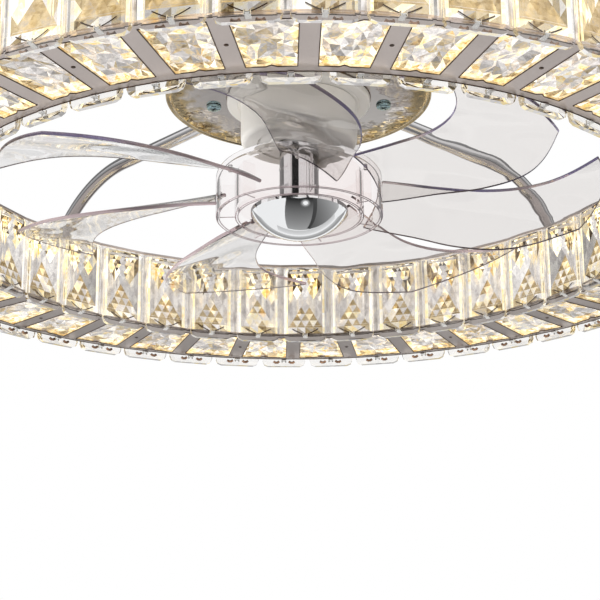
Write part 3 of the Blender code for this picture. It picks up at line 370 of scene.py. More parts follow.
def led_finish():
    """A warm LED strip: a pale carrier with a row of bright chips under a yellow gel."""
    made, tree, shader = new_finish("warm_led", (1.0, 0.84, 0.58), 0.4)
    stops = [(0.25, (1.0, 0.86, 0.52)), (0.55, (0.9, 0.68, 0.36))]
    chips = add_ramp(tree, object_cells(tree, "Distance", 160.0), stops)
    feed(shader, Base_Color=chips, Emission_Color=chips, Emission_Strength=2.2)
    return made


def bronze_wire_and_shade_lines(colour):
    """Dark bronzed wire, a little worn; the same finish draws the dark lines of painted shade along the
    windows' cut edges, the plate's rims and the motor's base.
    """
    made, tree, shader = new_finish("bronze_wire_and_shade_lines", colour, 0.3, Metallic=0.8)
    stops = [(0.45, colour), (0.85, scaled(colour, 3.2))]
    feed(shader, Base_Color=add_ramp(tree, object_noise(tree, 420.0), stops))
    return made


def clip_metal(colour):
    """Bright nickelled clips."""
    made, tree, shader = new_finish("clip_nickel", colour, 0.16, Metallic=1.0)
    vary_roughness(tree, shader, object_noise(tree, 700.0), 0.1, 0.26)
    return made


def mirror_steel(colour, dish, waviness):
    """Mirror-polished sheet, dished and wavy towards its rim, with a painted pale gold reflection of the lit
    crystals near the rim; its side wall is plain.
    """
    made, tree, shader = new_finish("mirror_steel", colour, 0.03, Metallic=1.0)
    radius = axis_distance(tree)
    # Painted reflection: from about 71 mm out the underside turns pale gold, standing in for the crystals it
    # reflects; noise wobbles where it starts.
    gold_reflection_wobble = object_noise(tree, 130.0, (1.0, 1.0, 0.0), 1.0)
    spread = calculate(tree, "MULTIPLY_ADD", gold_reflection_wobble, 0.030, radius)
    painted_gold_reflection = scaled(colour, 0.74, 0.63, 0.38)
    stops = [(0.071, colour), (0.078, painted_gold_reflection), (0.088, scaled(painted_gold_reflection, 0.7))]
    wall = map_range(tree, object_axis(tree, "Z"), CANOPY_BOTTOM + 0.0004, CANOPY_BOTTOM + 0.0012)
    tint = mix_colours(tree, wall, add_ramp(tree, spread, stops), (*colour, 1.0))
    feed(shader, Base_Color=tint)
    wave = object_noise(tree, 75.0, (1.0, 1.0, 0.0))
    rim = map_range(tree, radius, 0.040, 0.064, 0.1 * waviness, waviness)
    height = calculate(tree, "MULTIPLY_ADD", wave, rim, calculate(tree, "MULTIPLY", radius, dish))
    add_bump(tree, shader, height, 1.0, 1.0)
    return made


def bright_chrome(name, colour):
    """Chrome plate, with the faintest polishing haze."""
    made, tree, shader = new_finish(name, colour, 0.04, Metallic=1.0)
    vary_roughness(tree, shader, object_noise(tree, 300.0), 0.02, 0.07)
    return made


def white_plastic(colour, name="white_plastic"):
    """Satin white moulded plastic with a very fine grain."""
    made, tree, shader = new_finish(name, colour, 0.38)
    stops = [(0.35, colour), (0.75, scaled(colour, 0.97, 0.96, 0.93))]
    feed(shader, Base_Color=add_ramp(tree, object_noise(tree, 30.0, detail=1.0), stops))
    add_bump(tree, shader, object_noise(tree, 1400.0), 0.06, 0.0001)
    return made


def clear_acrylic(name, colour, ripple, scale, ior, density):
    """Clear moulded acrylic, rippled, painted paler on the left where the key lamp's light falls, and tinted
    mauve where light runs far through it.
    """
    made, tree, shader = new_finish(
        name, colour, 0.0, IOR=ior, Transmission_Weight=1.0, Specular_IOR_Level=0.08
    )
    # Painted light: the colour is paler on the left (-X), the lit side.
    paler = [c * 0.2 + 0.79 for c in colour]
    painted_light_rightness = map_range(tree, object_axis(tree, "X"), -0.08, 0.02)
    feed(shader, Base_Color=add_ramp(tree, painted_light_rightness, [(0.0, paler), (1.0, colour)]))
    add_bump(tree, shader, object_noise(tree, scale, detail=1.0), ripple, 0.006)
    mauve = (0.66, 0.56, 0.60, 1.0)
    depth = add_node(tree, "ShaderNodeVolumeAbsorption", "Volume", Color=mauve, Density=density)
    feed(tree.nodes["Material Output"], Volume=depth)
    return made


def acrylic_edge(name, colour, clearness=0.55):
    """The tinted edge of an acrylic moulding, painted bluer on the near side and paler on the far side,
    standing in for how the light catches its edges.
    """
    made, tree, shader = new_finish(name, colour, 0.12, IOR=1.3, Transmission_Weight=clearness)
    # Painted light: bluer towards the near side, paler towards the far side.
    tone = object_noise(tree, 14.0, detail=1.0)
    across = calculate(tree, "MULTIPLY_ADD", object_axis(tree, "X"), -0.6, tone)
    painted_light_farness = calculate(tree, "MULTIPLY_ADD", object_axis(tree, "Y"), 2.4, across)
    bluer, paler = scaled(colour, 0.8, 0.85, 1.4), scaled(colour, 2.1)
    feed(shader, Base_Color=add_ramp(tree, painted_light_farness, [(0.28, bluer), (0.40, colour), (0.56, paler)]))
    return made


def crystal_glass(colour):
    """The clear front of a crystal."""
    made, tree, shader = new_finish("crystal_glass", colour, 0.0, IOR=1.52, Transmission_Weight=1.0)
    add_bump(tree, shader, object_noise(tree, 90.0, detail=1.0), 0.03, 0.001)
    return made


# The painted light of a facet's brightest spots, and the colours that a facet's tone stands for; the tones
# paint the crystals' reflections, from dark brown shade through silver to gold
LED_PEAK = 2.0
LED_COLOUR = (1.0, 0.88, 0.55, 1.0)
FACET_TONES = [
    (0.00, (0.045, 0.028, 0.014)),
    (0.08, (0.20, 0.13, 0.055)),
    (0.16, (0.45, 0.35, 0.19)),
    (0.26, (0.62, 0.51, 0.33)),
    (0.36, (0.40, 0.38, 0.37)),
    (0.48, (0.60, 0.575, 0.57)),
    (0.60, (0.80, 0.775, 0.765)),
    (0.70, (0.97, 0.95, 0.92)),
    (0.80, (1.0, 0.91, 0.68)),
    (0.88, (1.0, 0.80, 0.40)),
    (0.95, (0.90, 0.56, 0.18)),
    (1.00, (0.72, 0.34, 0.08)),
]


def face_value(tree, name):
    """A number that each face carries."""
    return add_node(tree, "ShaderNodeAttribute", "Fac", settings={"attribute_name": name})


def lit_facets(name, glow, sparkle_scale, spread):
    """The silvered back facets of a crystal, with a painted warm glow and painted glints that stand in for
    the LED light inside the ring; every facet has its own tone, a painted reflection.
    """
    made, tree, shader = new_finish(name, (0.8, 0.78, 0.72), 0.12, Metallic=0.75)
    tone, light = face_value(tree, "facet_tone"), face_value(tree, "facet_light")
    sparkle = add_node(
        tree, "ShaderNodeSeparateColor", "Red", Color=object_cells(tree, "Color", sparkle_scale)
    )
    change = calculate(tree, "MULTIPLY_ADD", sparkle, spread, -spread / 2)
    colour = add_ramp(tree, calculate(tree, "ADD", tone, change), FACET_TONES)
    # Painted glints: LED-coloured spots where a facet's light is high.
    spot = map_range(tree, object_cells(tree, "Distance", 210.0), 0.06, 0.36, 1.0, 0.0)
    lit = calculate(tree, "MULTIPLY", spot, map_range(tree, light, 1.5, 2.5))
    power = calculate(tree, "MULTIPLY_ADD", lit, LED_PEAK, calculate(tree, "MULTIPLY", light, glow))
    shine = mix_colours(tree, lit, colour, LED_COLOUR)
    feed(shader, Base_Color=colour, Emission_Color=shine, Emission_Strength=power)
    return made


def plain_metal(name, colour, roughness, grain_scale=300.0, metallic=1.0):
    """A turned or pressed part with a fine grain."""
    made, tree, shader = new_finish(name, colour, roughness, Metallic=metallic)
    grain = object_noise(tree, grain_scale, (1.0, 1.0, 0.15))
    vary_roughness(tree, shader, grain, roughness * 0.7, roughness * 1.3)
    add_bump(tree, shader, grain, 0.08, 0.0002)
    return made


def wound_copper():
    """Enamelled copper wire in rows."""
    made, tree, shader = new_finish("wound_copper", (0.55, 0.27, 0.12), 0.3, Metallic=1.0)
    rows = add_node(
        tree, "ShaderNodeTexWave", "Fac", settings={"bands_direction": "Z"},
        Vector=object_place(tree), Scale=600.0, Distortion=1.0,
    )
    add_bump(tree, shader, rows, 0.5, 0.0003)
    return made


# Forms


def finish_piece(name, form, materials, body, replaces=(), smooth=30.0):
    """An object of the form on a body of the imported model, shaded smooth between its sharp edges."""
    mesh = bpy.data.meshes.new(name)
    form.to_mesh(mesh)
    form.free()
    for material in materials:
        mesh.materials.append(material)
    if smooth:
        mesh.shade_smooth()
        mesh.set_sharp_from_angle(angle=math.radians(smooth))
    piece = bpy.data.objects.new(name, mesh)
    bpy.context.scene.collection.objects.link(piece)
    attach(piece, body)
    if replaces:
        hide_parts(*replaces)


def give_materials(name, *materials):
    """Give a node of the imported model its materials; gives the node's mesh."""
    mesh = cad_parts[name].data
    mesh.materials.clear()
    for material in materials:
        mesh.materials.append(material)
    return mesh


def arc_points(centre, radius, start, end, count):
    """Profile points on an arc, angles in degrees from the +radius direction."""
    angles = [math.radians(start + (end - start) * i / count) for i in range(count + 1)]
    return [(centre[0] + radius * math.cos(a), centre[1] + radius * math.sin(a)) for a in angles]


def circle_points(radius, height, count, middle=(0.0, 0.0)):
    """Points on a level circle."""
    angles = [math.tau * i / count for i in range(count)]
    return [(middle[0] + radius * math.cos(a), middle[1] + radius * math.sin(a), height) for a in angles]


def close_form(form):
    """Turn all the faces of a form outward."""
    bmesh.ops.recalc_face_normals(form, faces=form.faces)
    return form


def turned_form(profile, steps=96, closed=True):
    """A form turned about Z from (radius, height) pairs that run down its outer side."""
    form = bmesh.new()
    rings = []
    for radius, height in profile:
        places = [(0.0, 0.0, height)] if radius < ON_AXIS else circle_points(radius, height, steps)
        rings.append([form.verts.new(place) for place in places])
    pairs = list(zip(rings, rings[1:]))
    if closed:
        pairs.append((rings[-1], rings[0]))
    for upper, lower in pairs:
        for i in range(steps):
            j = (i + 1) % steps
            corners = [ring[k % len(ring)] for ring, k in ((upper, i), (lower, i), (lower, j), (upper, j))]
            kept = [c for k, c in enumerate(corners) if c not in corners[:k]]
            if len(kept) > 2:
                form.faces.new(kept)
    return close_form(form)


def turn(form, angle, axis="Z"):
    """Turn a form about one of the world's axes."""
    bmesh.ops.rotate(form, verts=form.verts, cent=(0.0, 0.0, 0.0), matrix=Matrix.Rotation(angle, 3, axis))
    return form


def shift(form, x=0.0, y=0.0, z=0.0):
    """Move a form."""
    bmesh.ops.translate(form, verts=form.verts, vec=(x, y, z))
    return form


def merge(target, source):
    """Add a form to another, keeping its material numbers; the source is used up."""
    mesh = bpy.data.meshes.new("joined")
    source.to_mesh(mesh)
    source.free()
    target.from_mesh(mesh)
    bpy.data.meshes.remove(mesh)
    return target


def repeat_round(angles, make, *values):
    """What a function makes at angle 0, made again at each angle about the fan's axis."""
    whole = bmesh.new()
    for angle in angles:
        merge(whole, turn(make(*values), angle))
    return whole


def block_form(low, high, round_by=0.0):
    """A box between two corners, its edges cut off if asked."""
    form = bmesh.new()
    bmesh.ops.create_cube(form, size=1.0)
    bmesh.ops.scale(form, verts=form.verts, vec=[b - a for a, b in zip(low, high)])
    shift(form, *((a + b) / 2 for a, b in zip(low, high)))
    if round_by:
        bmesh.ops.bevel(form, geom=form.edges[:], offset=round_by, segments=1, affect="EDGES")
    return form


def wedge_form(low, high):
    """A prism between two matching outlines."""
    form = bmesh.new()
    lower, upper = ([form.verts.new(p) for p in points] for points in (low, high))
    form.faces.new(lower)
    form.faces.new(upper)
    for k in range(len(low)):
        n = (k + 1) % len(low)
        form.faces.new((lower[k], lower[n], upper[n], upper[k]))
    return close_form(form)


def tube_form(route, radius, sides=6, closed=False):
    """A tube along a route of points."""
    form = bmesh.new()
    points = [Vector(p) for p in route]
    count = len(points)
    rings = []
    side = None
    for i, point in enumerate(points):
        before = points[i - 1] if (i or closed) else point
        after = points[(i + 1) % count] if (i + 1 < count or closed) else point
        along = (after - before).normalized()
        if side is None:
            side = Vector((0.0, 0.0, 1.0)) if abs(along.z) < 0.9 else Vector((1.0, 0.0, 0.0))
        side = (side - along * side.dot(along)).normalized()
        other = along.cross(side)
        angles = [math.tau * k / sides for k in range(sides)]
        places = [point + radius * (side * math.cos(a) + other * math.sin(a)) for a in angles]
        rings.append([form.verts.new(place) for place in places])
    pairs = list(zip(rings, rings[1:]))
    if closed:
        pairs.append((rings[-1], rings[0]))
    for first, second in pairs:
        for k in range(sides):
            n = (k + 1) % sides
            form.faces.new((first[k], first[n], second[n], second[k]))
    if not closed:
        form.faces.new(rings[0][::-1])
        form.faces.new(rings[-1])
    return close_form(form)


def circle_tube(radius, height, thickness, count=200):
    """A thin tube on a level circle about the fan's axis."""
    return tube_form(circle_points(radius, height, count), thickness, closed=True)


def steps_round(count, share):
    """Evenly spaced angles, the first one a share of a step on from the near side."""
    return [NEAR + math.tau * (share + i) / count for i in range(count)]


def radial(angle):
    """The outward and the sideways directions at an angle."""
    x, y = math.cos(angle), math.sin(angle)
    return Vector((x, y, 0.0)), Vector((-y, x, 0.0))


# The blades' form


def blend_stations(values, share):
    """A smooth curve through evenly spaced values."""
    last = len(values) - 1
    i = min(int(share * last), last - 1)
    t = share * last - i
    before = values[i - 1] if i > 0 else 2 * values[0] - values[1]
    after = values[i + 2] if i + 2 <= last else 2 * values[last] - values[last - 1]
    a, b = values[i], values[i + 1]
    square = 2 * before - 5 * a + 4 * b - after
    cube = 3 * a - before - 3 * b + after
    return 0.5 * (2 * a + (b - before) * t + square * t**2 + cube * t**3)


def blade_point(span, chord):
    """A point of the near blade's middle surface; chord 0 is its high edge and chord 1 its low edge."""
    high, low = (blend_stations(angles, span) for angles in (BLADE_HIGH_ANGLES, BLADE_LOW_ANGLES))
    angle = math.radians(high + (low - high) * chord)
    high, low = (blend_stations(shares, span) for shares in (BLADE_HIGH_SHARES, BLADE_LOW_SHARES))
    share = high + (low - high) * chord
    arch = 4 * chord * (1 - chord)
    radius = BLADE_ROOT_RADIUS + (BLADE_TIP_RADIUS - BLADE_ROOT_RADIUS) * span
    radius += BLADE_TIP_BULGE * arch * span**4
    height = RING_UNDERSIDE + BLADE_LIFT * share + BLADE_CAMBER * arch
    return Vector((radius * math.cos(angle), radius * math.sin(angle), height))


def rounded_chord(step):
    """A place across the chord; the steps are closer together near both edges."""
    return 0.5 - 0.5 * math.cos(math.pi * step / CHORD_CUTS)


def blade_form(thickness):
    """One blade: two smooth sheets joined by a rounded edge, which has the second material."""
    form = bmesh.new()
    chords = [rounded_chord(j) for j in range(CHORD_CUTS + 1)]
    rows = [[blade_point(i / SPAN_CUTS, chord) for chord in chords] for i in range(SPAN_CUTS + 1)]
    half = thickness / 2
    sheets = {1: [], -1: []}
    for sign, sheet in sheets.items():
        for i, row in enumerate(rows):
            sheet.append([])
            for j, point in enumerate(row):
                along = rows[min(i + 1, SPAN_CUTS)][j] - rows[max(i - 1, 0)][j]
                across = row[min(j + 1, CHORD_CUTS)] - row[max(j - 1, 0)]
                normal = along.cross(across).normalized()
                sheet[i].append(form.verts.new(point + normal * half * sign))
    for sign, sheet in sheets.items():
        for i in range(SPAN_CUTS):
            for j in range(CHORD_CUTS):
                corners = (sheet[i][j], sheet[i + 1][j], sheet[i + 1][j + 1], sheet[i][j + 1])
                form.faces.new(corners[::sign])
    border = [(0, j) for j in range(CHORD_CUTS)]
    border += [(i, CHORD_CUTS) for i in range(SPAN_CUTS)]
    border += [(SPAN_CUTS, CHORD_CUTS - j) for j in range(CHORD_CUTS)]
    border += [(SPAN_CUTS - i, 0) for i in range(SPAN_CUTS)]
    line = [rows[i][j] for i, j in border]
    edge = []
    for number, (i, j) in enumerate(border):
        ahead, behind = line[(number + 1) % len(line)], line[number - 1]
        normal = (sheets[1][i][j].co - sheets[-1][i][j].co).normalized()
        outward = (ahead - behind).cross(normal).normalized()
        inside = rows[min(max(i, 1), SPAN_CUTS - 1)][min(max(j, 1), CHORD_CUTS - 1)]
        if outward.dot(line[number] - inside) < 0:
            outward.negate()
        edge.append(form.verts.new(line[number] + outward * half * 0.5))
    for number, (i, j) in enumerate(border):
        n = (number + 1) % len(border)
        p, q = border[n]
        for sheet in sheets.values():
            face = form.faces.new((sheet[i][j], edge[number], edge[n], sheet[p][q]))
            face.material_index = 1
    return close_form(form)


def root_form():
    """The clear pin that holds the near blade's root."""
    pin = turned_form([(0.0, 0.0022), (0.0011, 0.0018), (0.0011, -0.0018), (0.0, -0.0022)], 16, False)
    return shift(pin, *blade_point(0.0, 0.3))


# The crystals' forms

# A row of hanging crystals: its angles, its back's radius, -1 or 1 as it faces in or out, a crystal's width
CrystalRow = namedtuple("CrystalRow", "name angles back facing width")
INNER_ROW = CrystalRow("inner", steps_round(40, 0.90), 0.1897, -1, 0.0266)
OUTER_ROW = CrystalRow("outer", steps_round(50, 0.362), 0.2433, 1, 0.0280)
WINDOW_ANGLES = steps_round(WINDOW_COUNT, WINDOW_SHARE)

# The tones that facets draw from, and how often or where a hanging crystal's facets draw each; they paint the
# reflections and sparkles in the crystals
AMBER_SHADE = (0.17, 0.20, 0.22, 0.24, 0.27)
AMBER_MIX = (0.22, 0.26, 0.52, 0.70, 0.78, 0.80, 0.83, 0.86)
BROWN = (0.15, 0.18, 0.20, 0.24)
PALE_GOLD = (0.56, 0.62, 0.74, 0.80)
SPARKS = (0.02, 0.10, 0.22, 0.74, 0.80, 0.82, 0.84, 0.88, 0.92)
SPARK_LIGHTS = (0.7, 1.2, 2.5, 2.5)
DARK_TOP = (0.0, 0.10, 0.36, 0.62, 0.80)
SILVER = (0.50, 0.55, 0.58, 0.62, 0.66)
FRAME_TONES = (0.58, 0.66, 0.70, 0.62)
BORDER_TONES = (0.74, 0.80, 0.82, 0.84)
SILL_TONES = (0.12, 0.24, 0.30, 0.62, 0.74, 0.80, 0.86)
CROWN_TONES = (0.0, 0.12, 0.58, 0.62, 0.80, 0.86)
PANE_TONES = (0.38, 0.42, 0.48, 0.54, 0.62, 0.68, 0.72)
PANE_CHANGES = (-0.20, -0.08, 0.0, 0.08, 0.16)
PANE_RIM_TONES = (0.16, 0.26, 0.66, 0.78, 0.80, 0.84, 0.90)
PANE_LIGHTS, PANE_RIM_LIGHTS = (0.5, 1.0), (0.8, 1.6)
END_TONE, END_LIGHT = 0.68, 0.3
AMBER_SHADE_SHARE, BROWN_SHARE = 0.35, 0.8
SPARK_LEVEL, DARK_TOP_LEVEL = 0.60, 0.86
SPARK_START, SPARK_END = 0.22, 0.85


def facet_form():
    """An empty form whose faces carry a tone and a light."""
    form = bmesh.new()
    for name in ("facet_tone", "facet_light"):
        form.faces.layers.float.new(name)
    return form


def add_facet(form, corners, tone, light, material=1):
    """A face with a tone, a light and a material number."""
    face = form.faces.new(corners)
    face.material_index = material
    face[form.faces.layers.float["facet_tone"]] = tone
    face[form.faces.layers.float["facet_light"]] = light


def split_triangle(a, b, c, depth, upright=True):
    """The triangles that a triangle splits into by halving its sides, each with whether it stands upright."""
    if not depth:
        return [(a, b, c, upright)]
    ab, bc, ca = (a + b) / 2, (b + c) / 2, (c + a) / 2
    out = []
    for part in ((a, ab, ca), (ab, b, bc), (ca, bc, c)):
        out += split_triangle(*part, depth - 1, upright)
    return out + split_triangle(bc, ca, ab, depth - 1, not upright)


def facet_look(kind, across, level, upright, amber, dice):
    """The tone and light of a back facet, by its side of the cut, its place and which way it points."""
    if amber:
        if kind == "bottom" or dice.random() < AMBER_SHADE_SHARE:
            return dice.choice(AMBER_SHADE), 1.3
        return dice.choice(AMBER_MIX), 1.3
    if kind == "bottom":
        if upright and dice.random() < BROWN_SHARE:
            return dice.choice(BROWN), 0.75
        return dice.choice(PALE_GOLD), 0.8
    if level > SPARK_LEVEL and SPARK_START < across < SPARK_END:
        return dice.choice(SPARKS), dice.choice(SPARK_LIGHTS)
    if level > DARK_TOP_LEVEL:
        return dice.choice(DARK_TOP), 0.8
    return dice.choice(SILVER), 0.62


def hanging_crystal(form, row, angle, dice, bevel, point):
    """One crystal of a row: a bevelled front, rounded lower corners and an X cut at its back."""
    out, side = radial(angle)
    half = row.width / 2
    inner, reach = half - CUT_FRAME, half - CUT_BORDER
    low, high = CRYSTAL_BOTTOM, CRYSTAL_TOP
    sill, foot, crown = (low + height for height in (CUT_SILL, CUT_FOOT, CUT_CROWN))
    spots = {}

    def vertex(u, v, depth=0.0):
        key = (round(u, 5), round(v, 5), round(depth, 5))
        if key not in spots:
            place = out * (row.back + row.facing * depth) + side * u + Vector((0.0, 0.0, v))
            spots[key] = form.verts.new(place)
        return spots[key]

    def outline(inset, depth):
        cut = max(CRYSTAL_CORNER - inset, CRYSTAL_FRONT_CORNER)
        u, bottom, top = half - inset, low + inset, high - inset
        right = [(u - cut, bottom), (u - cut * 0.3, bottom + cut * 0.3), (u, bottom + cut), (u, top)]
        left = [(-x, z) for x, z in reversed(right)]
        return [vertex(x, z, depth) for x, z in (left[3], *right, *left[:3])]

    def quad(u0, u1, v0, v1):
        return [vertex(u0, v0), vertex(u1, v0), vertex(u1, v1), vertex(u0, v1)]

    back, edge = outline(0.0, 0.0), outline(0.0, CRYSTAL_SLAB)
    front = outline(bevel, CRYSTAL_SLAB + CRYSTAL_RISE)
    heights = [sill, foot] + [foot + (crown - foot) * i / 4 for i in (1, 2, 3, 4)] + [high]
    lefts, rights = ([vertex(u, v) for v in heights[:-1]] for u in (-half, half))
    # The narrow faces at the crystal's top and lower corners; the lowest ones have the third material, a
    # painted soft glow
    for k in (0, 1, 2, 4, 6, 7):
        n = (k + 1) % 8
        band = (back[k], back[n], edge[n], edge[k])
        if k in (0, 1, 7):
            add_facet(form, band, END_TONE, END_LIGHT, material=2)
        else:
            form.faces.new(band)
    # The back's long edges carry the strips' corners, so the side faces carry them too
    form.faces.new((edge[3], edge[4], back[4], *reversed(rights), back[3]))
    form.faces.new((edge[5], edge[6], back[6], *lefts, back[5]))
    for k in range(8):
        n = (k + 1) % 8
        form.faces.new((edge[k], edge[n], front[n], front[k]))
    form.faces.new(front)
    form.faces.new((back[0], back[1], back[2], back[3], rights[0], lefts[0], back[6], back[7]))
    for sign in (-1, 1):
        for u0, u1, tones, light in ((half, inner, FRAME_TONES, 0.8), (inner, reach, BORDER_TONES, 1.5)):
            for v0, v1 in zip(heights, heights[1:]):
                corners = quad(sign * u0, sign * u1, v0, v1)
                add_facet(form, corners, dice.choice(tones), light * dice.uniform(0.8, 1.2))
    for v0, v1, tones, light in ((sill, foot, SILL_TONES, 1.1), (crown, high, CROWN_TONES, 0.8)):
        for k in range(4):
            corners = quad(-reach + reach * k / 2, -reach + reach * (k + 1) / 2, v0, v1)
            for pick in ((0, 1, 2), (0, 2, 3)):
                add_facet(form, [corners[p] for p in pick], dice.choice(tones), light)
    middle = Vector((dice.uniform(-0.0008, 0.0008), (foot + crown) / 2, -point))
    field = ((-reach, foot), (reach, foot), (reach, crown), (-reach, crown))
    corners = [Vector((*spot, 0.0)) for spot in field]
    for kind, a, b in zip(("bottom", "right", "top", "left"), corners, corners[1:] + corners[:1]):
        for p, q, r, upright in split_triangle(a, b, middle, 3 if kind == "top" else 2):
            centre = (p + q + r) / 3
            level = (centre.y - foot) / (crown - foot)
            look = facet_look(kind, abs(centre.x) / reach, level, upright, row.facing > 0, dice)
            add_facet(form, [vertex(*spot) for spot in (p, q, r)], *look)


def crystal_row_form(row, bevel, point):
    """All the crystals of a row."""
    dice = random.Random(SEED + len(row.angles))
    form = facet_form()
    for angle in row.angles:
        hanging_crystal(form, row, angle, dice, bevel, point)
    return close_form(form)


def window_pane(form, angle, cells, dice):
    """The crystal over one window: flat underneath, with a field of small facets on top, each with a painted
    tone and glow.
    """
    out, side = radial(angle)
    inner = WINDOW_INNER * math.cos(HALF_STEP) - PANE_MARGIN
    outer = WINDOW_OUTER * math.cos(HALF_STEP) + PANE_MARGIN
    patches = [dice.choice(PANE_TONES) for _ in range(9)]

    def at(i, j, height, jitter=0.0):
        r = inner + (outer - inner) * (i / cells)
        half = r * math.tan(HALF_STEP) - WINDOW_BAR / 2 + PANE_MARGIN
        u = half * (2 * j / cells - 1)
        if jitter:
            r += dice.uniform(-jitter, jitter)
            u += dice.uniform(-jitter, jitter)
        return form.verts.new(out * r + side * u + Vector((0.0, 0.0, PANE_BOTTOM + height)))

    top = []
    for i in range(cells + 1):
        top.append([])
        for j in range(cells + 1):
            centre = 1 - max(abs(2 * i / cells - 1), abs(2 * j / cells - 1))
            height = PANE_RIM_HEIGHT + PANE_RISE * centre
            if 0 < i < cells and 0 < j < cells:
                top[i].append(at(i, j, height + dice.uniform(*PANE_HEIGHT_CHANGES), PANE_JITTER))
            else:
                top[i].append(at(i, j, height))
    for i in range(cells):
        for j in range(cells):
            a, b, c, d = top[i][j], top[i + 1][j], top[i + 1][j + 1], top[i][j + 1]
            for corners in ((a, b, c), (a, c, d)) if dice.random() < 0.5 else ((a, b, d), (b, c, d)):
                if min(i, j, cells - 1 - i, cells - 1 - j) == 0:
                    add_facet(form, corners, dice.choice(PANE_RIM_TONES), dice.uniform(*PANE_RIM_LIGHTS))
                else:
                    patch = patches[(i * 3 // cells) * 3 + j * 3 // cells]
                    tone = patch + dice.choice(PANE_CHANGES)
                    add_facet(form, corners, tone, dice.uniform(*PANE_LIGHTS))
    rim = [(i, 0) for i in range(cells)] + [(cells, j) for j in range(cells)]
    rim += [(cells - i, cells) for i in range(cells)] + [(0, cells - j) for j in range(cells)]
    foot = [at(i, j, 0.0) for i, j in rim]
    for k, (i, j) in enumerate(rim):
        n = (k + 1) % len(rim)
        form.faces.new((top[i][j], foot[k], foot[n], top[rim[n][0]][rim[n][1]]))
    form.faces.new(foot)


def pane_form(cells):
    """The crystals over all the windows."""
    dice = random.Random(SEED * 3)
    form = facet_form()
    for angle in WINDOW_ANGLES:
        window_pane(form, angle, cells, dice)
    return close_form(form)


# The small forms of the ring


def window_outline(height, grow=0.0):
    """The outline of the window at angle 0, with a tab into it from its inner and its outer side."""
    shrink = math.cos(HALF_STEP)
    half_tab, tab_reach = 0.0025, 0.0016

    def side(radius, inward):
        half = radius * math.sin(HALF_STEP) - WINDOW_BAR / 2 + grow
        x = radius * shrink
        return [(x, -half), (x, -half_tab), (x + inward * tab_reach, 0.0), (x, half_tab), (x, half)]

    points = side(WINDOW_INNER - grow, 1) + side(WINDOW_OUTER + grow, -1)[::-1]
    return [(x, y, height) for x, y in points]


def window_trim():
    """The dark line round the window at angle 0: painted shade along its cut edge."""
    return tube_form(window_outline(RING_UNDERSIDE, 0.00012), 0.0003, closed=True)


def window_tab():
    """The small wedge in the outer side of the window at angle 0."""
    return wedge_form(*(window_outline(height)[6:9] for height in (RING_UNDERSIDE, PLATE_TOP)))


def bar_rivet():
    """The rivet in the middle of the bar at angle 0."""
    profile = [(0.0, 0.0), (0.00105, 0.0), (0.00105, -0.0001), (0.0008, -0.00022), (0.0, -0.00012)]
    rivet = turned_form(profile, 16, closed=False)
    return shift(rivet, (WINDOW_INNER + WINDOW_OUTER) / 2, 0.0, RING_UNDERSIDE - 0.00002)


def clip_form(row):
    """The clip of the crystal at angle 0: a small plate with two prongs."""
    face = row.back + row.facing * 0.0031
    low, high = RING_UNDERSIDE - 0.0016, RING_UNDERSIDE - 0.0003
    start, end = sorted((row.back - row.facing * 0.0015, face + row.facing * 0.0005))
    form = block_form((start, -0.0014, high - 0.0007), (end, 0.0014, high), 0.0002)
    for side in (-0.0012, 0.0012):
        merge(form, tube_form([(face, side, high + 0.0008), (face, side, low)], 0.00042))
    return form


def pin_form(row):
    """The bow pin of the crystal at angle 0: two halves that rise outward from its middle."""
    form = bmesh.new()
    depth = row.back + row.facing * 0.0008
    for sign in (-1, 1):
        bow = [(sign * (0.0014 + 0.0066 * t), 0.0004 + 0.0032 * t**1.2) for t in (0, 0.25, 0.5, 0.75, 1)]
        merge(form, tube_form([(depth, y, RING_UNDERSIDE + z) for y, z in bow], 0.0003))
    return form


def hook_form(row):
    """The two wire hooks of the crystal at angle 0, which hang below the plate."""
    form = bmesh.new()
    for sign in (-1, 1):
        hook = ((0.0032, -0.0016), (0.0042, -0.0024), (0.0056, -0.0025), (0.0068, -0.0017))
        route = [(row.back - 0.0009, sign * y, RING_UNDERSIDE + z) for y, z in hook]
        merge(form, tube_form(route, 0.0008, 8))
    return form


# The forms of the canopy, the arms and the hub


def canopy_form():
    """The canopy: a pan of thin sheet with a rolled lip and a shallow groove beside it."""
    top, bottom, wall, sheet, hole = CANOPY_TOP, CANOPY_BOTTOM, CANOPY_RADIUS, 0.001, 0.006
    profile = [(wall - sheet, top), (wall, top), (wall, bottom + 0.0021)]
    profile += arc_points((wall + 0.0003, bottom + 0.0021), 0.0003, 180, 270, 3)
    profile += arc_points((wall + 0.0027, bottom + 0.0010), 0.0008, 90, -90, 10)
    profile += [(wall + 0.0020, bottom + 0.0003), (wall + 0.0014, bottom + 0.0006)]
    profile += [(wall + 0.0008, bottom + 0.0003), (wall, bottom), (wall - 0.0003, bottom)]
    profile += [(hole + 0.0003, bottom), (hole, bottom)]
    profile += [(hole, bottom + sheet), (wall - sheet, bottom + sheet)]
    return turned_form(profile, 160)


def screw_form(length):
    """A pan-head screw that points up, with a cross recess in its domed head; the recess is painted dark with
    the second material, as its shade.
    """
    head, height, shank, rounding = 0.0040, 0.0016, 0.002, 0.0010
    profile = [(0.0, length), (shank, length), (shank, 0.0), (head, 0.0), (head, -0.0006)]
    profile += arc_points((head - rounding, -0.0006), rounding, 0, -80, 5)
    profile += [(0.0012, -height), (0.0, -height)]
    form = turned_form(profile, 32, closed=False)
    for spin in (0.0, math.pi / 2):
        slot = block_form((-0.0022, -0.0005, -height - 0.00004), (0.0022, 0.0005, -height + 0.0003))
        for face in slot.faces:
            face.material_index = 1
        merge(form, turn(slot, spin))
    return form


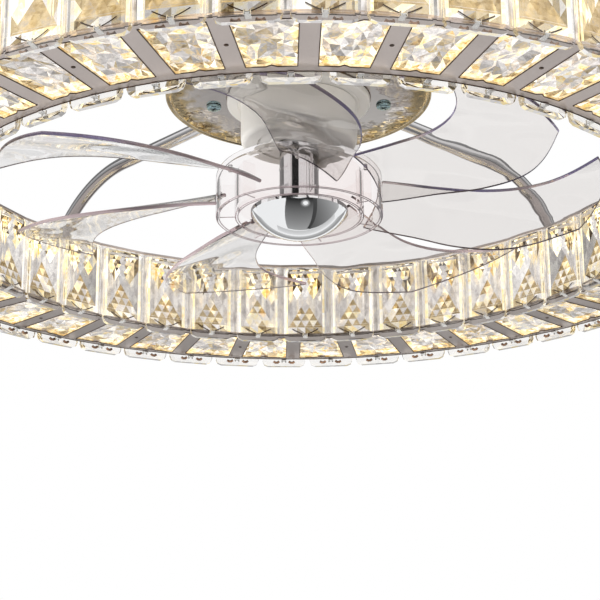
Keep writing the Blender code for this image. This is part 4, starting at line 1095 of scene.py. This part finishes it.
def base_form():
    """The motor's base: a disc with a fine groove underneath and a neck in its middle."""
    bottom, wide, rounding, neck, bore = BASE_TOP - 0.0035, 0.0385, 0.001, 0.0095, 0.0075
    groove, half_groove, groove_depth = 0.0325, 0.0005, 0.0003
    profile = [(bore, BASE_TOP), (wide, BASE_TOP)]
    profile += arc_points((wide - rounding, bottom + rounding), rounding, 0, -90, 6)
    profile += [(groove + half_groove, bottom), (groove, bottom + groove_depth)]
    profile += [(groove - half_groove, bottom), (neck, bottom)]
    profile += [(neck, BASE_BOTTOM), (bore, BASE_BOTTOM)]
    return turned_form(profile, 128)


def housing_form():
    """The motor's housing: a rounded cup with a stepped floor."""
    bottom, wide, wall, sheet, bore = HOUSING_BOTTOM, 0.0310, 0.0015, 0.0018, 0.01115
    rounding, inner_rounding, step = 0.0030, 0.0027, 0.0008
    corner = (wide - wall - inner_rounding, bottom + sheet + inner_rounding)
    profile = [(wide - wall, HOUSING_TOP), (wide, HOUSING_TOP)]
    profile += arc_points((wide - rounding, bottom + rounding), rounding, 0, -90, 10)
    profile += [(0.0225, bottom), (0.0217, bottom + step), (0.0160, bottom + step), (0.0152, bottom)]
    profile += [(bore, bottom), (bore, bottom + sheet), (corner[0], bottom + sheet)]
    profile += arc_points(corner, inner_rounding, -90, 0, 5)
    return turned_form(profile, 128)


def sleeve_form():
    """The sleeve on the shaft, with a fine chamfer at both ends."""
    bore, wide, chamfer = 0.00855, 0.01035, 0.0002
    profile = [(bore, SLEEVE_TOP), (wide - chamfer, SLEEVE_TOP), (wide, SLEEVE_TOP - chamfer)]
    profile += [(wide, SLEEVE_BOTTOM + chamfer), (wide - chamfer, SLEEVE_BOTTOM), (bore, SLEEVE_BOTTOM)]
    return turned_form(profile)


def drum_form():
    """The clear drum: two walls with ribs between them, a web on the shaft, and dark lines painted along its
    lower edges and ribs, standing in for the refraction lines there.
    """
    top, bottom, bore = DRUM_TOP, DRUM_BOTTOM, 0.01065
    wide, narrow, sheet, bend, chamfer = 0.044, 0.034, 0.0018, 0.006, 0.00045
    ceiling, web, web_top = top - sheet, bottom + 0.004, bottom + 0.006
    shaft = 0.0043
    gap_start, gap_end = narrow + 0.00005, wide - sheet - 0.00005

    def wall_foot(radius):
        inside = radius - sheet
        outside_points = [(radius, bottom + chamfer), (radius - chamfer, bottom)]
        return outside_points + [(inside + chamfer / 2, bottom), (inside, bottom + chamfer / 2)]

    profile = [(bore, top), *arc_points((wide - bend, top - bend), bend, 90, 0, 10), *wall_foot(wide)]
    profile += [(wide - sheet, ceiling - bend)]
    profile += arc_points((wide - sheet - bend, ceiling - bend), bend, 0, 90, 8)
    profile += [(narrow, ceiling), *wall_foot(narrow), (narrow - sheet, web), (shaft, web), (shaft, web_top)]
    profile += [(narrow - sheet, web_top), (narrow - sheet, ceiling), (bore, ceiling)]
    form = turned_form(profile, 128)
    angles = [math.radians(-80.5) + math.tau * i / BLADE_COUNT for i in range(BLADE_COUNT)]
    low, high = (gap_start, -0.0007, bottom + 0.0014), (gap_end, 0.0007, ceiling - 0.0062)
    merge(form, repeat_round(angles, block_form, low, high, 0.0001))
    # Painted refraction: thin dark tubes at the ribs' feet and the walls' lower edges, in the second
    # material.
    line = [(gap_start + 0.00005, 0.0, bottom + 0.0013), (gap_end - 0.00005, 0.0, bottom + 0.0013)]
    lines = repeat_round(angles, tube_form, line, 0.00024)
    for radius in (wide, narrow):
        for edge in (radius - 0.0002, radius - sheet + 0.0002):
            merge(lines, circle_tube(edge, bottom + 0.0002, 0.00024, 128))
    for face in lines.faces:
        face.material_index = 1
    return merge(form, lines)


def dome_form():
    """The mirror dome: a cap of a sphere with a short skirt."""
    radius, depth, sheet = 0.0256, 0.013, 0.001
    sphere = (radius**2 + depth**2) / (2 * depth)
    shell = sphere - sheet
    middle = (0.0, DOME_BOTTOM + sphere)
    widest = math.degrees(math.asin(radius / sphere))
    narrower = math.degrees(math.asin((radius - sheet) / shell))
    profile = arc_points(middle, shell, -90, narrower - 90, 14)
    profile += [(radius - sheet, DOME_TOP), (radius, DOME_TOP)]
    profile += arc_points(middle, sphere, widest - 90, -90, 28)
    return turned_form(profile, 128, closed=False)


def arm_form(radius):
    """The arm at angle 0: a bent rod with a collar on the canopy and a foot on the ring."""
    route = [(x, 0.0, ARM_AXIS) for x in ARM_STRAIGHT]
    bend_centre = (ARM_BEND_START, ARM_AXIS - ARM_BEND_RADIUS)
    route += [(x, 0.0, z) for x, z in arc_points(bend_centre, ARM_BEND_RADIUS, 90, 90 - ARM_BEND, 24)]
    form = tube_form(route, radius, 28)
    bore, wide, collar_top, rounding = radius + 0.0001, 0.0065, 0.0018, 0.0006
    collar = [(bore, 0.0), (wide, 0.0)]
    collar += arc_points((wide - rounding, collar_top - rounding), rounding, 0, 90, 4)
    ring = turn(turned_form([*collar, (bore, collar_top)], 40), math.pi / 2, "Y")
    merge(form, shift(ring, CANOPY_RADIUS + 0.0003, 0.0, ARM_AXIS))
    bottom, top, rounding, chamfer = ARM_FOOT_BOTTOM, ARM_FOOT_BOTTOM + 0.0062, 0.0012, 0.0003
    stud, stud_bottom = 0.002, ARM_FOOT_BOTTOM - 0.0055
    foot = [(0.0, top), (0.0048, top), *arc_points((wide - rounding, top - rounding), rounding, 90, 0, 5)]
    foot += [(wide, bottom + chamfer), (wide - chamfer, bottom), (stud, bottom)]
    foot += [(stud, stud_bottom), (0.0, stud_bottom)]
    return merge(form, shift(turned_form(foot, 40, closed=False), ARM_FOOT_CENTRE))


# Operators


class FAN_OT_ring(bpy.types.Operator):
    """Finish the ring's plates and walls, with a painted glow on the windows' cut faces and dark lines of
    painted shade round its windows and along its rims
    """

    bl_idname = "fan.ring"
    bl_label = "Ring plates and walls"

    def execute(self, context):
        ring = context.scene.fan_ring
        satin, bronze = satin_steel(ring.satin), bronze_wire_and_shade_lines(ring.bronze)
        wall, edge = painted_glow_wall(), painted_glow_edge()
        for name in ("ring_inner_wall", "ring_outer_wall"):
            give_materials(name, wall)
        give_materials("ring_top_plate", satin)
        # The plates' cut faces at the windows take the painted gold glow.
        for face in give_materials("ring_bottom_plate", satin, edge).polygons:
            radius = math.hypot(face.center.x, face.center.y)
            if abs(face.normal.z) < 0.3 and PLATE_INNER_RIM + 0.0015 < radius < PLATE_OUTER_RIM - 0.001:
                face.material_index = 1
        # Painted shade: a dark line round each window's cut edge.
        trims = repeat_round(WINDOW_ANGLES, window_trim)
        finish_piece("window_trims", trims, [bronze], "fixture")
        tabs = repeat_round(WINDOW_ANGLES, window_tab)
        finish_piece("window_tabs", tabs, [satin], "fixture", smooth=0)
        rivets = repeat_round(steps_round(WINDOW_COUNT, WINDOW_SHARE - 0.5)[1::2], bar_rivet)
        finish_piece("bar_rivets", rivets, [bronze], "fixture")
        # Painted shade: dark lines along the plate's inner and outer rims.
        rims = circle_tube(PLATE_INNER_RIM, RING_UNDERSIDE, 0.00032)
        merge(rims, circle_tube(PLATE_OUTER_RIM, RING_UNDERSIDE, 0.00022))
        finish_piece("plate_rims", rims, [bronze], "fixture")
        return {"FINISHED"}


class FAN_OT_crystals(bpy.types.Operator):
    """Build the two rows of hanging crystals and the crystals over the windows"""

    bl_idname = "fan.crystals"
    bl_label = "Crystals"

    def execute(self, context):
        look = context.scene.fan_crystals
        glass = crystal_glass(look.glass)
        facets = lit_facets("hanging_facets", look.glow, sparkle_scale=620.0, spread=0.10)
        ends = lit_facets("crystal_ends", look.glow * 0.6, sparkle_scale=300.0, spread=0.42)
        cut = [glass, facets, ends]
        for row in (INNER_ROW, OUTER_ROW):
            form = crystal_row_form(row, look.bevel, look.point)
            name, node = row.name + "_cut_crystals", row.name + "_crystals"
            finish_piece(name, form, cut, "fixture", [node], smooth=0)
        panes = pane_form(look.pane_cells)
        cut = [glass, lit_facets("window_facets", look.glow * 1.5, sparkle_scale=760.0, spread=0.16)]
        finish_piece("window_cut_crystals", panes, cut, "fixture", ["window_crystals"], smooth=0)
        return {"FINISHED"}


class FAN_OT_clips(bpy.types.Operator):
    """Build the clips and the bow pins that hold the hanging crystals"""

    bl_idname = "fan.clips"
    bl_label = "Clips and pins"

    def execute(self, context):
        ring = context.scene.fan_ring
        nickel, bronze = clip_metal(ring.clip), bronze_wire_and_shade_lines(ring.bronze)
        for row in (INNER_ROW, OUTER_ROW):
            clips = repeat_round(row.angles, clip_form, row)
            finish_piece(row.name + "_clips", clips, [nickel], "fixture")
            pins = repeat_round(row.angles, pin_form, row)
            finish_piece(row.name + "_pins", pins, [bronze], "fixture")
        amber = bronze_wire_and_shade_lines(scaled(ring.bronze, 4.5))
        hooks = repeat_round(OUTER_ROW.angles, hook_form, OUTER_ROW)
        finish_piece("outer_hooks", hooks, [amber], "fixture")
        return {"FINISHED"}


class FAN_OT_lights(bpy.types.Operator):
    """Finish the LED strips and their carrier"""

    bl_idname = "fan.lights"
    bl_label = "LED strips"

    def execute(self, context):
        led = led_finish()
        give_materials("led_strip_inner", led)
        give_materials("led_strip_outer", led)
        give_materials("led_carrier", white_plastic(context.scene.fan_rotor.white, "carrier_white"))
        return {"FINISHED"}


class FAN_OT_canopy(bpy.types.Operator):
    """Build the mirror canopy and its screws"""

    bl_idname = "fan.canopy"
    bl_label = "Canopy and screws"

    def execute(self, context):
        mirror = mirror_steel(context.scene.fan_canopy.mirror, dish=0.042, waviness=0.00035)
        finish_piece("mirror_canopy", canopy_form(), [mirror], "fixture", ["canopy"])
        steel = plain_metal("screw_steel", (0.30, 0.42, 0.45), 0.12)
        # Painted shade: the recess is coloured near black.
        recess = plain_metal("screw_recess_shade", (0.03, 0.06, 0.07), 0.3)
        for i in (1, 2):
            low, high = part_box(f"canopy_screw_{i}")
            middle = (low + high) / 2
            form = turn(screw_form(high.z - CANOPY_BOTTOM), 0.4 * i)
            shift(form, middle.x, middle.y, CANOPY_BOTTOM - 0.0003)
            node = f"canopy_screw_{i}"
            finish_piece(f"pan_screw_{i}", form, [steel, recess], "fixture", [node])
        return {"FINISHED"}


class FAN_OT_motor(bpy.types.Operator):
    """Build the motor's base and housing"""

    bl_idname = "fan.motor"
    bl_label = "Motor base and housing"

    def execute(self, context):
        white = white_plastic(context.scene.fan_rotor.white)
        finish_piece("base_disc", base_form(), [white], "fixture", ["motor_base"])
        # Painted shade: a dark line round the base disc where it meets the canopy.
        gap_shade_line = circle_tube(0.0386, CANOPY_BOTTOM - 0.0002, 0.0003)
        finish_piece("base_gap_shade", gap_shade_line, [bronze_wire_and_shade_lines(context.scene.fan_ring.bronze)], "fixture")
        form = housing_form()
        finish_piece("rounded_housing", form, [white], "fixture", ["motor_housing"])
        return {"FINISHED"}


class FAN_OT_hub(bpy.types.Operator):
    """Build the sleeve, the clear drum and the mirror dome"""

    bl_idname = "fan.hub"
    bl_label = "Hub"

    def execute(self, context):
        look = context.scene.fan_rotor
        chrome = bright_chrome("sleeve_chrome", scaled(context.scene.fan_canopy.chrome, 0.82))
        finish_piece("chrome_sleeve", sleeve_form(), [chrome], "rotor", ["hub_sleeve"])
        clear = clear_acrylic("clear_drum", look.drum, ripple=0.03, scale=34.0, ior=1.025, density=7.0)
        # The second material paints the drum's dark refraction lines.
        edge = acrylic_edge("drum_edge", look.drum_edge, clearness=0.1)
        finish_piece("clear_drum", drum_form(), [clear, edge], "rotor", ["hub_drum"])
        mirror = bright_chrome("dome_chrome", (0.88, 0.89, 0.90))
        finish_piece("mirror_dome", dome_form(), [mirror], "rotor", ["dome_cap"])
        return {"FINISHED"}


class FAN_OT_blades(bpy.types.Operator):
    """Build the seven clear blades with their root pins"""

    bl_idname = "fan.blades"
    bl_label = "Blades"

    def execute(self, context):
        look = context.scene.fan_rotor
        clear = clear_acrylic("clear_blade", look.acrylic, ripple=0.8, scale=20.0, ior=1.32, density=10.0)
        edge = acrylic_edge("blade_edge", look.edge)
        for i in range(BLADE_COUNT):
            form = turn(merge(blade_form(look.blade_thickness), root_form()), math.tau * i / BLADE_COUNT)
            name, node = f"clear_blade_{i + 1}", f"blade_{i + 1}"
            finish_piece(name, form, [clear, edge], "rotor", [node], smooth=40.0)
        return {"FINISHED"}


class FAN_OT_arms(bpy.types.Operator):
    """Build the chrome arms"""

    bl_idname = "fan.arms"
    bl_label = "Arms"

    def execute(self, context):
        look = context.scene.fan_canopy
        chrome = bright_chrome("arm_chrome", scaled(look.chrome, 0.78))
        for i, angle in enumerate(ARM_ANGLES, 1):
            form = turn(arm_form(look.arm_radius), angle)
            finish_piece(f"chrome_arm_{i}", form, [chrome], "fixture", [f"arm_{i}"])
        return {"FINISHED"}


class FAN_OT_inner_parts(bpy.types.Operator):
    """Finish the motor's inner parts, the electronics, the bracket and the nuts"""

    bl_idname = "fan.inner_parts"
    bl_label = "Inner parts"

    def execute(self, context):
        zinc = plain_metal("zinc_plate", (0.55, 0.56, 0.57), 0.32)
        dark = plain_metal("dark_plastic", (0.05, 0.05, 0.055), 0.5, grain_scale=900.0, metallic=0.0)
        white = white_plastic(context.scene.fan_rotor.white, "box_white")
        nuts = [f"{kind}_{i}" for i in range(1, 5) for kind in ("arm_nut", "arm_locknut")]
        zinc_parts = ("ceiling_bracket", "bracket_screw_1", "bracket_screw_2", "motor_bracket")
        turned_parts = ("bearing_lower", "bearing_upper", "shaft", "rotor_can", "hub_nut")
        finishes = (
            (zinc, (*zinc_parts, *turned_parts, *nuts)),
            (white, ("led_driver", "fan_controller")),
            (dark, ("terminal_block", "rotor_magnet")),
            (wound_copper(), ("stator",)),
        )
        for material, names in finishes:
            for name in names:
                give_materials(name, material)
        return {"FINISHED"}


class FAN_OT_stage(bpy.types.Operator):
    """Build the studio: the camera, the soft light, the floor and the cards that the metal reflects"""

    bl_idname = "fan.stage"
    bl_label = "Studio"

    def execute(self, context):
        look = context.scene.fan_stage
        add_camera()
        white_world(look.ambient)
        add_floor()
        add_lamp("key_lamp", (-1.7, -0.7, -0.9), (0.0, 0.0, -0.08), 0.9, look.key)
        add_lamp("fill_lamp", (1.1, -1.6, -0.2), (0.0, 0.0, -0.1), 1.2, look.key * 0.2)
        for name, height, outline, axis, first, last in LEVEL_CARDS:
            add_card(name, [(x, y, height) for x, y in outline], axis, first, last)
        for radius, grey in GLINTS:
            disc = circle_points(radius, CARD_HEIGHT + 0.04 - radius * 0.05, 24, GLINT_CENTRE)
            add_card("floor_glint", disc, "X", grey, grey)
        for name, start, end, low, high, first, last in UPRIGHT_CARDS:
            add_card(name, [(*start, low), (*end, low), (*end, high), (*start, high)], "Z", first, last)
        return {"FINISHED"}


# The studio

# Level cards: name, height, outline, the axis that they are shaded along, and the first and last grey
LEVEL_CARDS = (
    ("floor_shade", CARD_HEIGHT, ((-1.25, -1.7), (1.7, -1.7), (0.5, 1.8), (-0.7, 1.7)), "Y", 0.015, 0.40),
    ("floor_grey", CARD_HEIGHT, ((1.7, -1.7), (4.6, -1.7), (4.6, 2.2), (0.5, 1.8)), "X", 0.09, 0.50),
    ("floor_bar", CARD_HEIGHT + 0.01, ((1.35, -1.7), (1.8, -1.7), (0.62, 1.6), (0.42, 1.6)), "X", 0.05, 0.08),
    ("floor_far", CARD_HEIGHT, ((-1.5, 1.9), (3.2, 1.9), (3.2, 3.3), (-1.5, 3.3)), "Y", 0.60, 0.80),
    ("ceiling_grey", 0.9, ((-3.0, 0.5), (3.0, 0.5), (3.0, 3.2), (-3.0, 3.2)), "Y", 0.20, 0.42),
)

# Upright cards: name, start and end, bottom and top, and the grey at the bottom and at the top
UPRIGHT_CARDS = (
    ("side_shade", (-1.7, -1.85), (-0.1, -2.4), -0.4, 2.4, 0.02, 0.04),
    ("far_room", (-3.2, 3.4), (3.2, 3.4), -1.95, -1.2, 0.60, 0.36),
    ("far_wall", (-3.2, 3.4), (3.2, 3.4), -1.2, -0.7, 0.36, 0.32),
    ("left_room", (-2.5, -1.4), (-2.5, 1.6), -1.1, 0.8, 0.02, 0.65),
    ("right_room", (2.5, -1.4), (2.5, 1.6), -1.1, 0.8, 0.02, 0.65),
)

# The glint in the dome: discs on the floor, each smaller one higher and brighter, as (radius, grey)
GLINT_CENTRE = (0.50, -1.15)
GLINTS = ((0.42, 0.16), (0.32, 0.40), (0.20, 1.0))


def add_camera():
    """The camera at the photograph's place, looking up at the fan."""
    pitch, roll, pan = 0.3187, -0.0072, 0.0011
    spin = Matrix.Rotation(pan, 3, "Z")
    place = spin @ Vector((0.0, -0.874, -0.4476))
    ahead = spin @ Vector((0.0, math.cos(pitch), math.sin(pitch)))
    up = spin @ Vector((0.0, -math.sin(pitch), math.cos(pitch)))
    right = spin @ Vector((1.0, 0.0, 0.0))
    across = math.cos(roll) * right + math.sin(roll) * up
    upward = -math.sin(roll) * right + math.cos(roll) * up
    data = bpy.data.cameras.new("camera")
    data.lens, data.sensor_width = 106.52, 36.0
    data.clip_start = 0.05
    camera = bpy.data.objects.new("camera", data)
    bpy.context.scene.collection.objects.link(camera)
    view = Matrix((across, upward, -ahead)).transposed().to_4x4()
    view.translation = place
    camera.matrix_world = view
    bpy.context.scene.camera = camera


def white_rays(tree):
    """1 for camera, glossy and transmission rays, which see white."""
    rays = tree.nodes.new("ShaderNodeLightPath").outputs
    seen = calculate(tree, "MAXIMUM", rays["Is Camera Ray"], rays["Is Glossy Ray"])
    return calculate(tree, "MAXIMUM", seen, rays["Is Transmission Ray"])


def white_world(ambient):
    """A white surround for what is seen and reflected, and a soft light for the rest."""
    world = bpy.data.worlds.new("studio")
    world.use_nodes = True
    tree = world.node_tree
    strength = map_range(tree, white_rays(tree), 0.0, 1.0, ambient, 1.0)
    feed(tree.nodes["Background"], Color=WHITE, Strength=strength)
    bpy.context.scene.world = world
    bpy.context.scene.view_settings.view_transform = "Standard"


def mix_surface(tree, share, first, second):
    """Give a material a mix of two shaders as its surface."""
    mix = add_node(tree, "ShaderNodeMixShader", "Shader", share, first, second)
    feed(tree.nodes["Material Output"], Surface=mix)


def add_floor():
    """The plain pale floor of the room, below the fan; what is seen of it is white, apart from shadow."""
    material, tree, shader = new_finish("pale_floor", (0.82, 0.82, 0.82), 0.9)
    glow = add_node(tree, "ShaderNodeEmission", "Emission", Color=WHITE)
    mix_surface(tree, calculate(tree, "MULTIPLY", white_rays(tree), 0.85), shader.outputs["BSDF"], glow)
    size, height = 6.0, FLOOR_HEIGHT
    corners = [(-size, -size, height), (size, -size, height), (size, size, height), (-size, size, height)]
    floor = sheet_object("floor", corners, material)


def add_card(name, corners, axis, first, last):
    """A grey card that shows only in reflections, shaded along one axis, as in any product studio."""
    material = bpy.data.materials.new(name)
    material.use_nodes = True
    tree = material.node_tree
    place = add_node(tree, "ShaderNodeTexCoord", "Generated")
    source = add_node(tree, "ShaderNodeSeparateXYZ", axis, place)
    grey = add_ramp(tree, source, [(0.0, [first] * 3), (1.0, [last] * 3)])
    glow = add_node(tree, "ShaderNodeEmission", "Emission", Color=grey)
    clear = add_node(tree, "ShaderNodeBsdfTransparent", "BSDF")
    mix_surface(tree, add_node(tree, "ShaderNodeLightPath", "Glossy Depth"), clear, glow)
    card = sheet_object(name, corners, material)
    card.visible_camera = False
    card.visible_diffuse = False
    card.visible_shadow = False


def sheet_object(name, corners, material):
    """A flat sheet inside an outline."""
    mesh = bpy.data.meshes.new(name)
    mesh.from_pydata(corners, [], [tuple(range(len(corners)))])
    mesh.materials.append(material)
    made = bpy.data.objects.new(name, mesh)
    bpy.context.scene.collection.objects.link(made)
    return made


def add_lamp(name, place, target, size, power):
    """A soft square lamp aimed at a point."""
    data = bpy.data.lights.new(name, "AREA")
    data.shape = "SQUARE"
    data.size = size
    data.energy = power
    lamp = bpy.data.objects.new(name, data)
    lamp.location = place
    lamp.rotation_mode = "QUATERNION"
    lamp.rotation_quaternion = (Vector(target) - Vector(place)).to_track_quat("-Z", "Y")
    lamp.visible_camera = False
    lamp.visible_glossy = False
    lamp.visible_transmission = False
    bpy.context.scene.collection.objects.link(lamp)


# The add-on

STEPS = (
    FAN_OT_ring,
    FAN_OT_crystals,
    FAN_OT_clips,
    FAN_OT_lights,
    FAN_OT_canopy,
    FAN_OT_motor,
    FAN_OT_hub,
    FAN_OT_blades,
    FAN_OT_arms,
    FAN_OT_inner_parts,
    FAN_OT_stage,
)


class FAN_PT_panel(bpy.types.Panel):
    """The fan's settings and steps"""

    bl_idname = "FAN_PT_panel"
    bl_label = "Ceiling Fan"
    bl_space_type = "VIEW_3D"
    bl_region_type = "UI"
    bl_category = "Ceiling Fan"

    def draw(self, context):
        for name, kind in SETTINGS.items():
            box = self.layout.box()
            for prop in kind.__annotations__:
                box.prop(getattr(context.scene, name), prop)
        for step in STEPS:
            self.layout.operator(step.bl_idname)


CLASSES = (*SETTINGS.values(), *STEPS, FAN_PT_panel)


def register():
    """Register the settings, the operators and the panel."""
    for kind in CLASSES:
        bpy.utils.register_class(kind)
    for name, kind in SETTINGS.items():
        setattr(bpy.types.Scene, name, PointerProperty(type=kind))


def unregister():
    """Undo register."""
    for name in SETTINGS:
        delattr(bpy.types.Scene, name)
    for kind in reversed(CLASSES):
        bpy.utils.unregister_class(kind)


def main():
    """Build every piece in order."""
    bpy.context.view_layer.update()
    register()
    for step in STEPS:
        group, name = step.bl_idname.split(".")
        getattr(getattr(bpy.ops, group), name)()


if __name__ == "__main__":
    main()
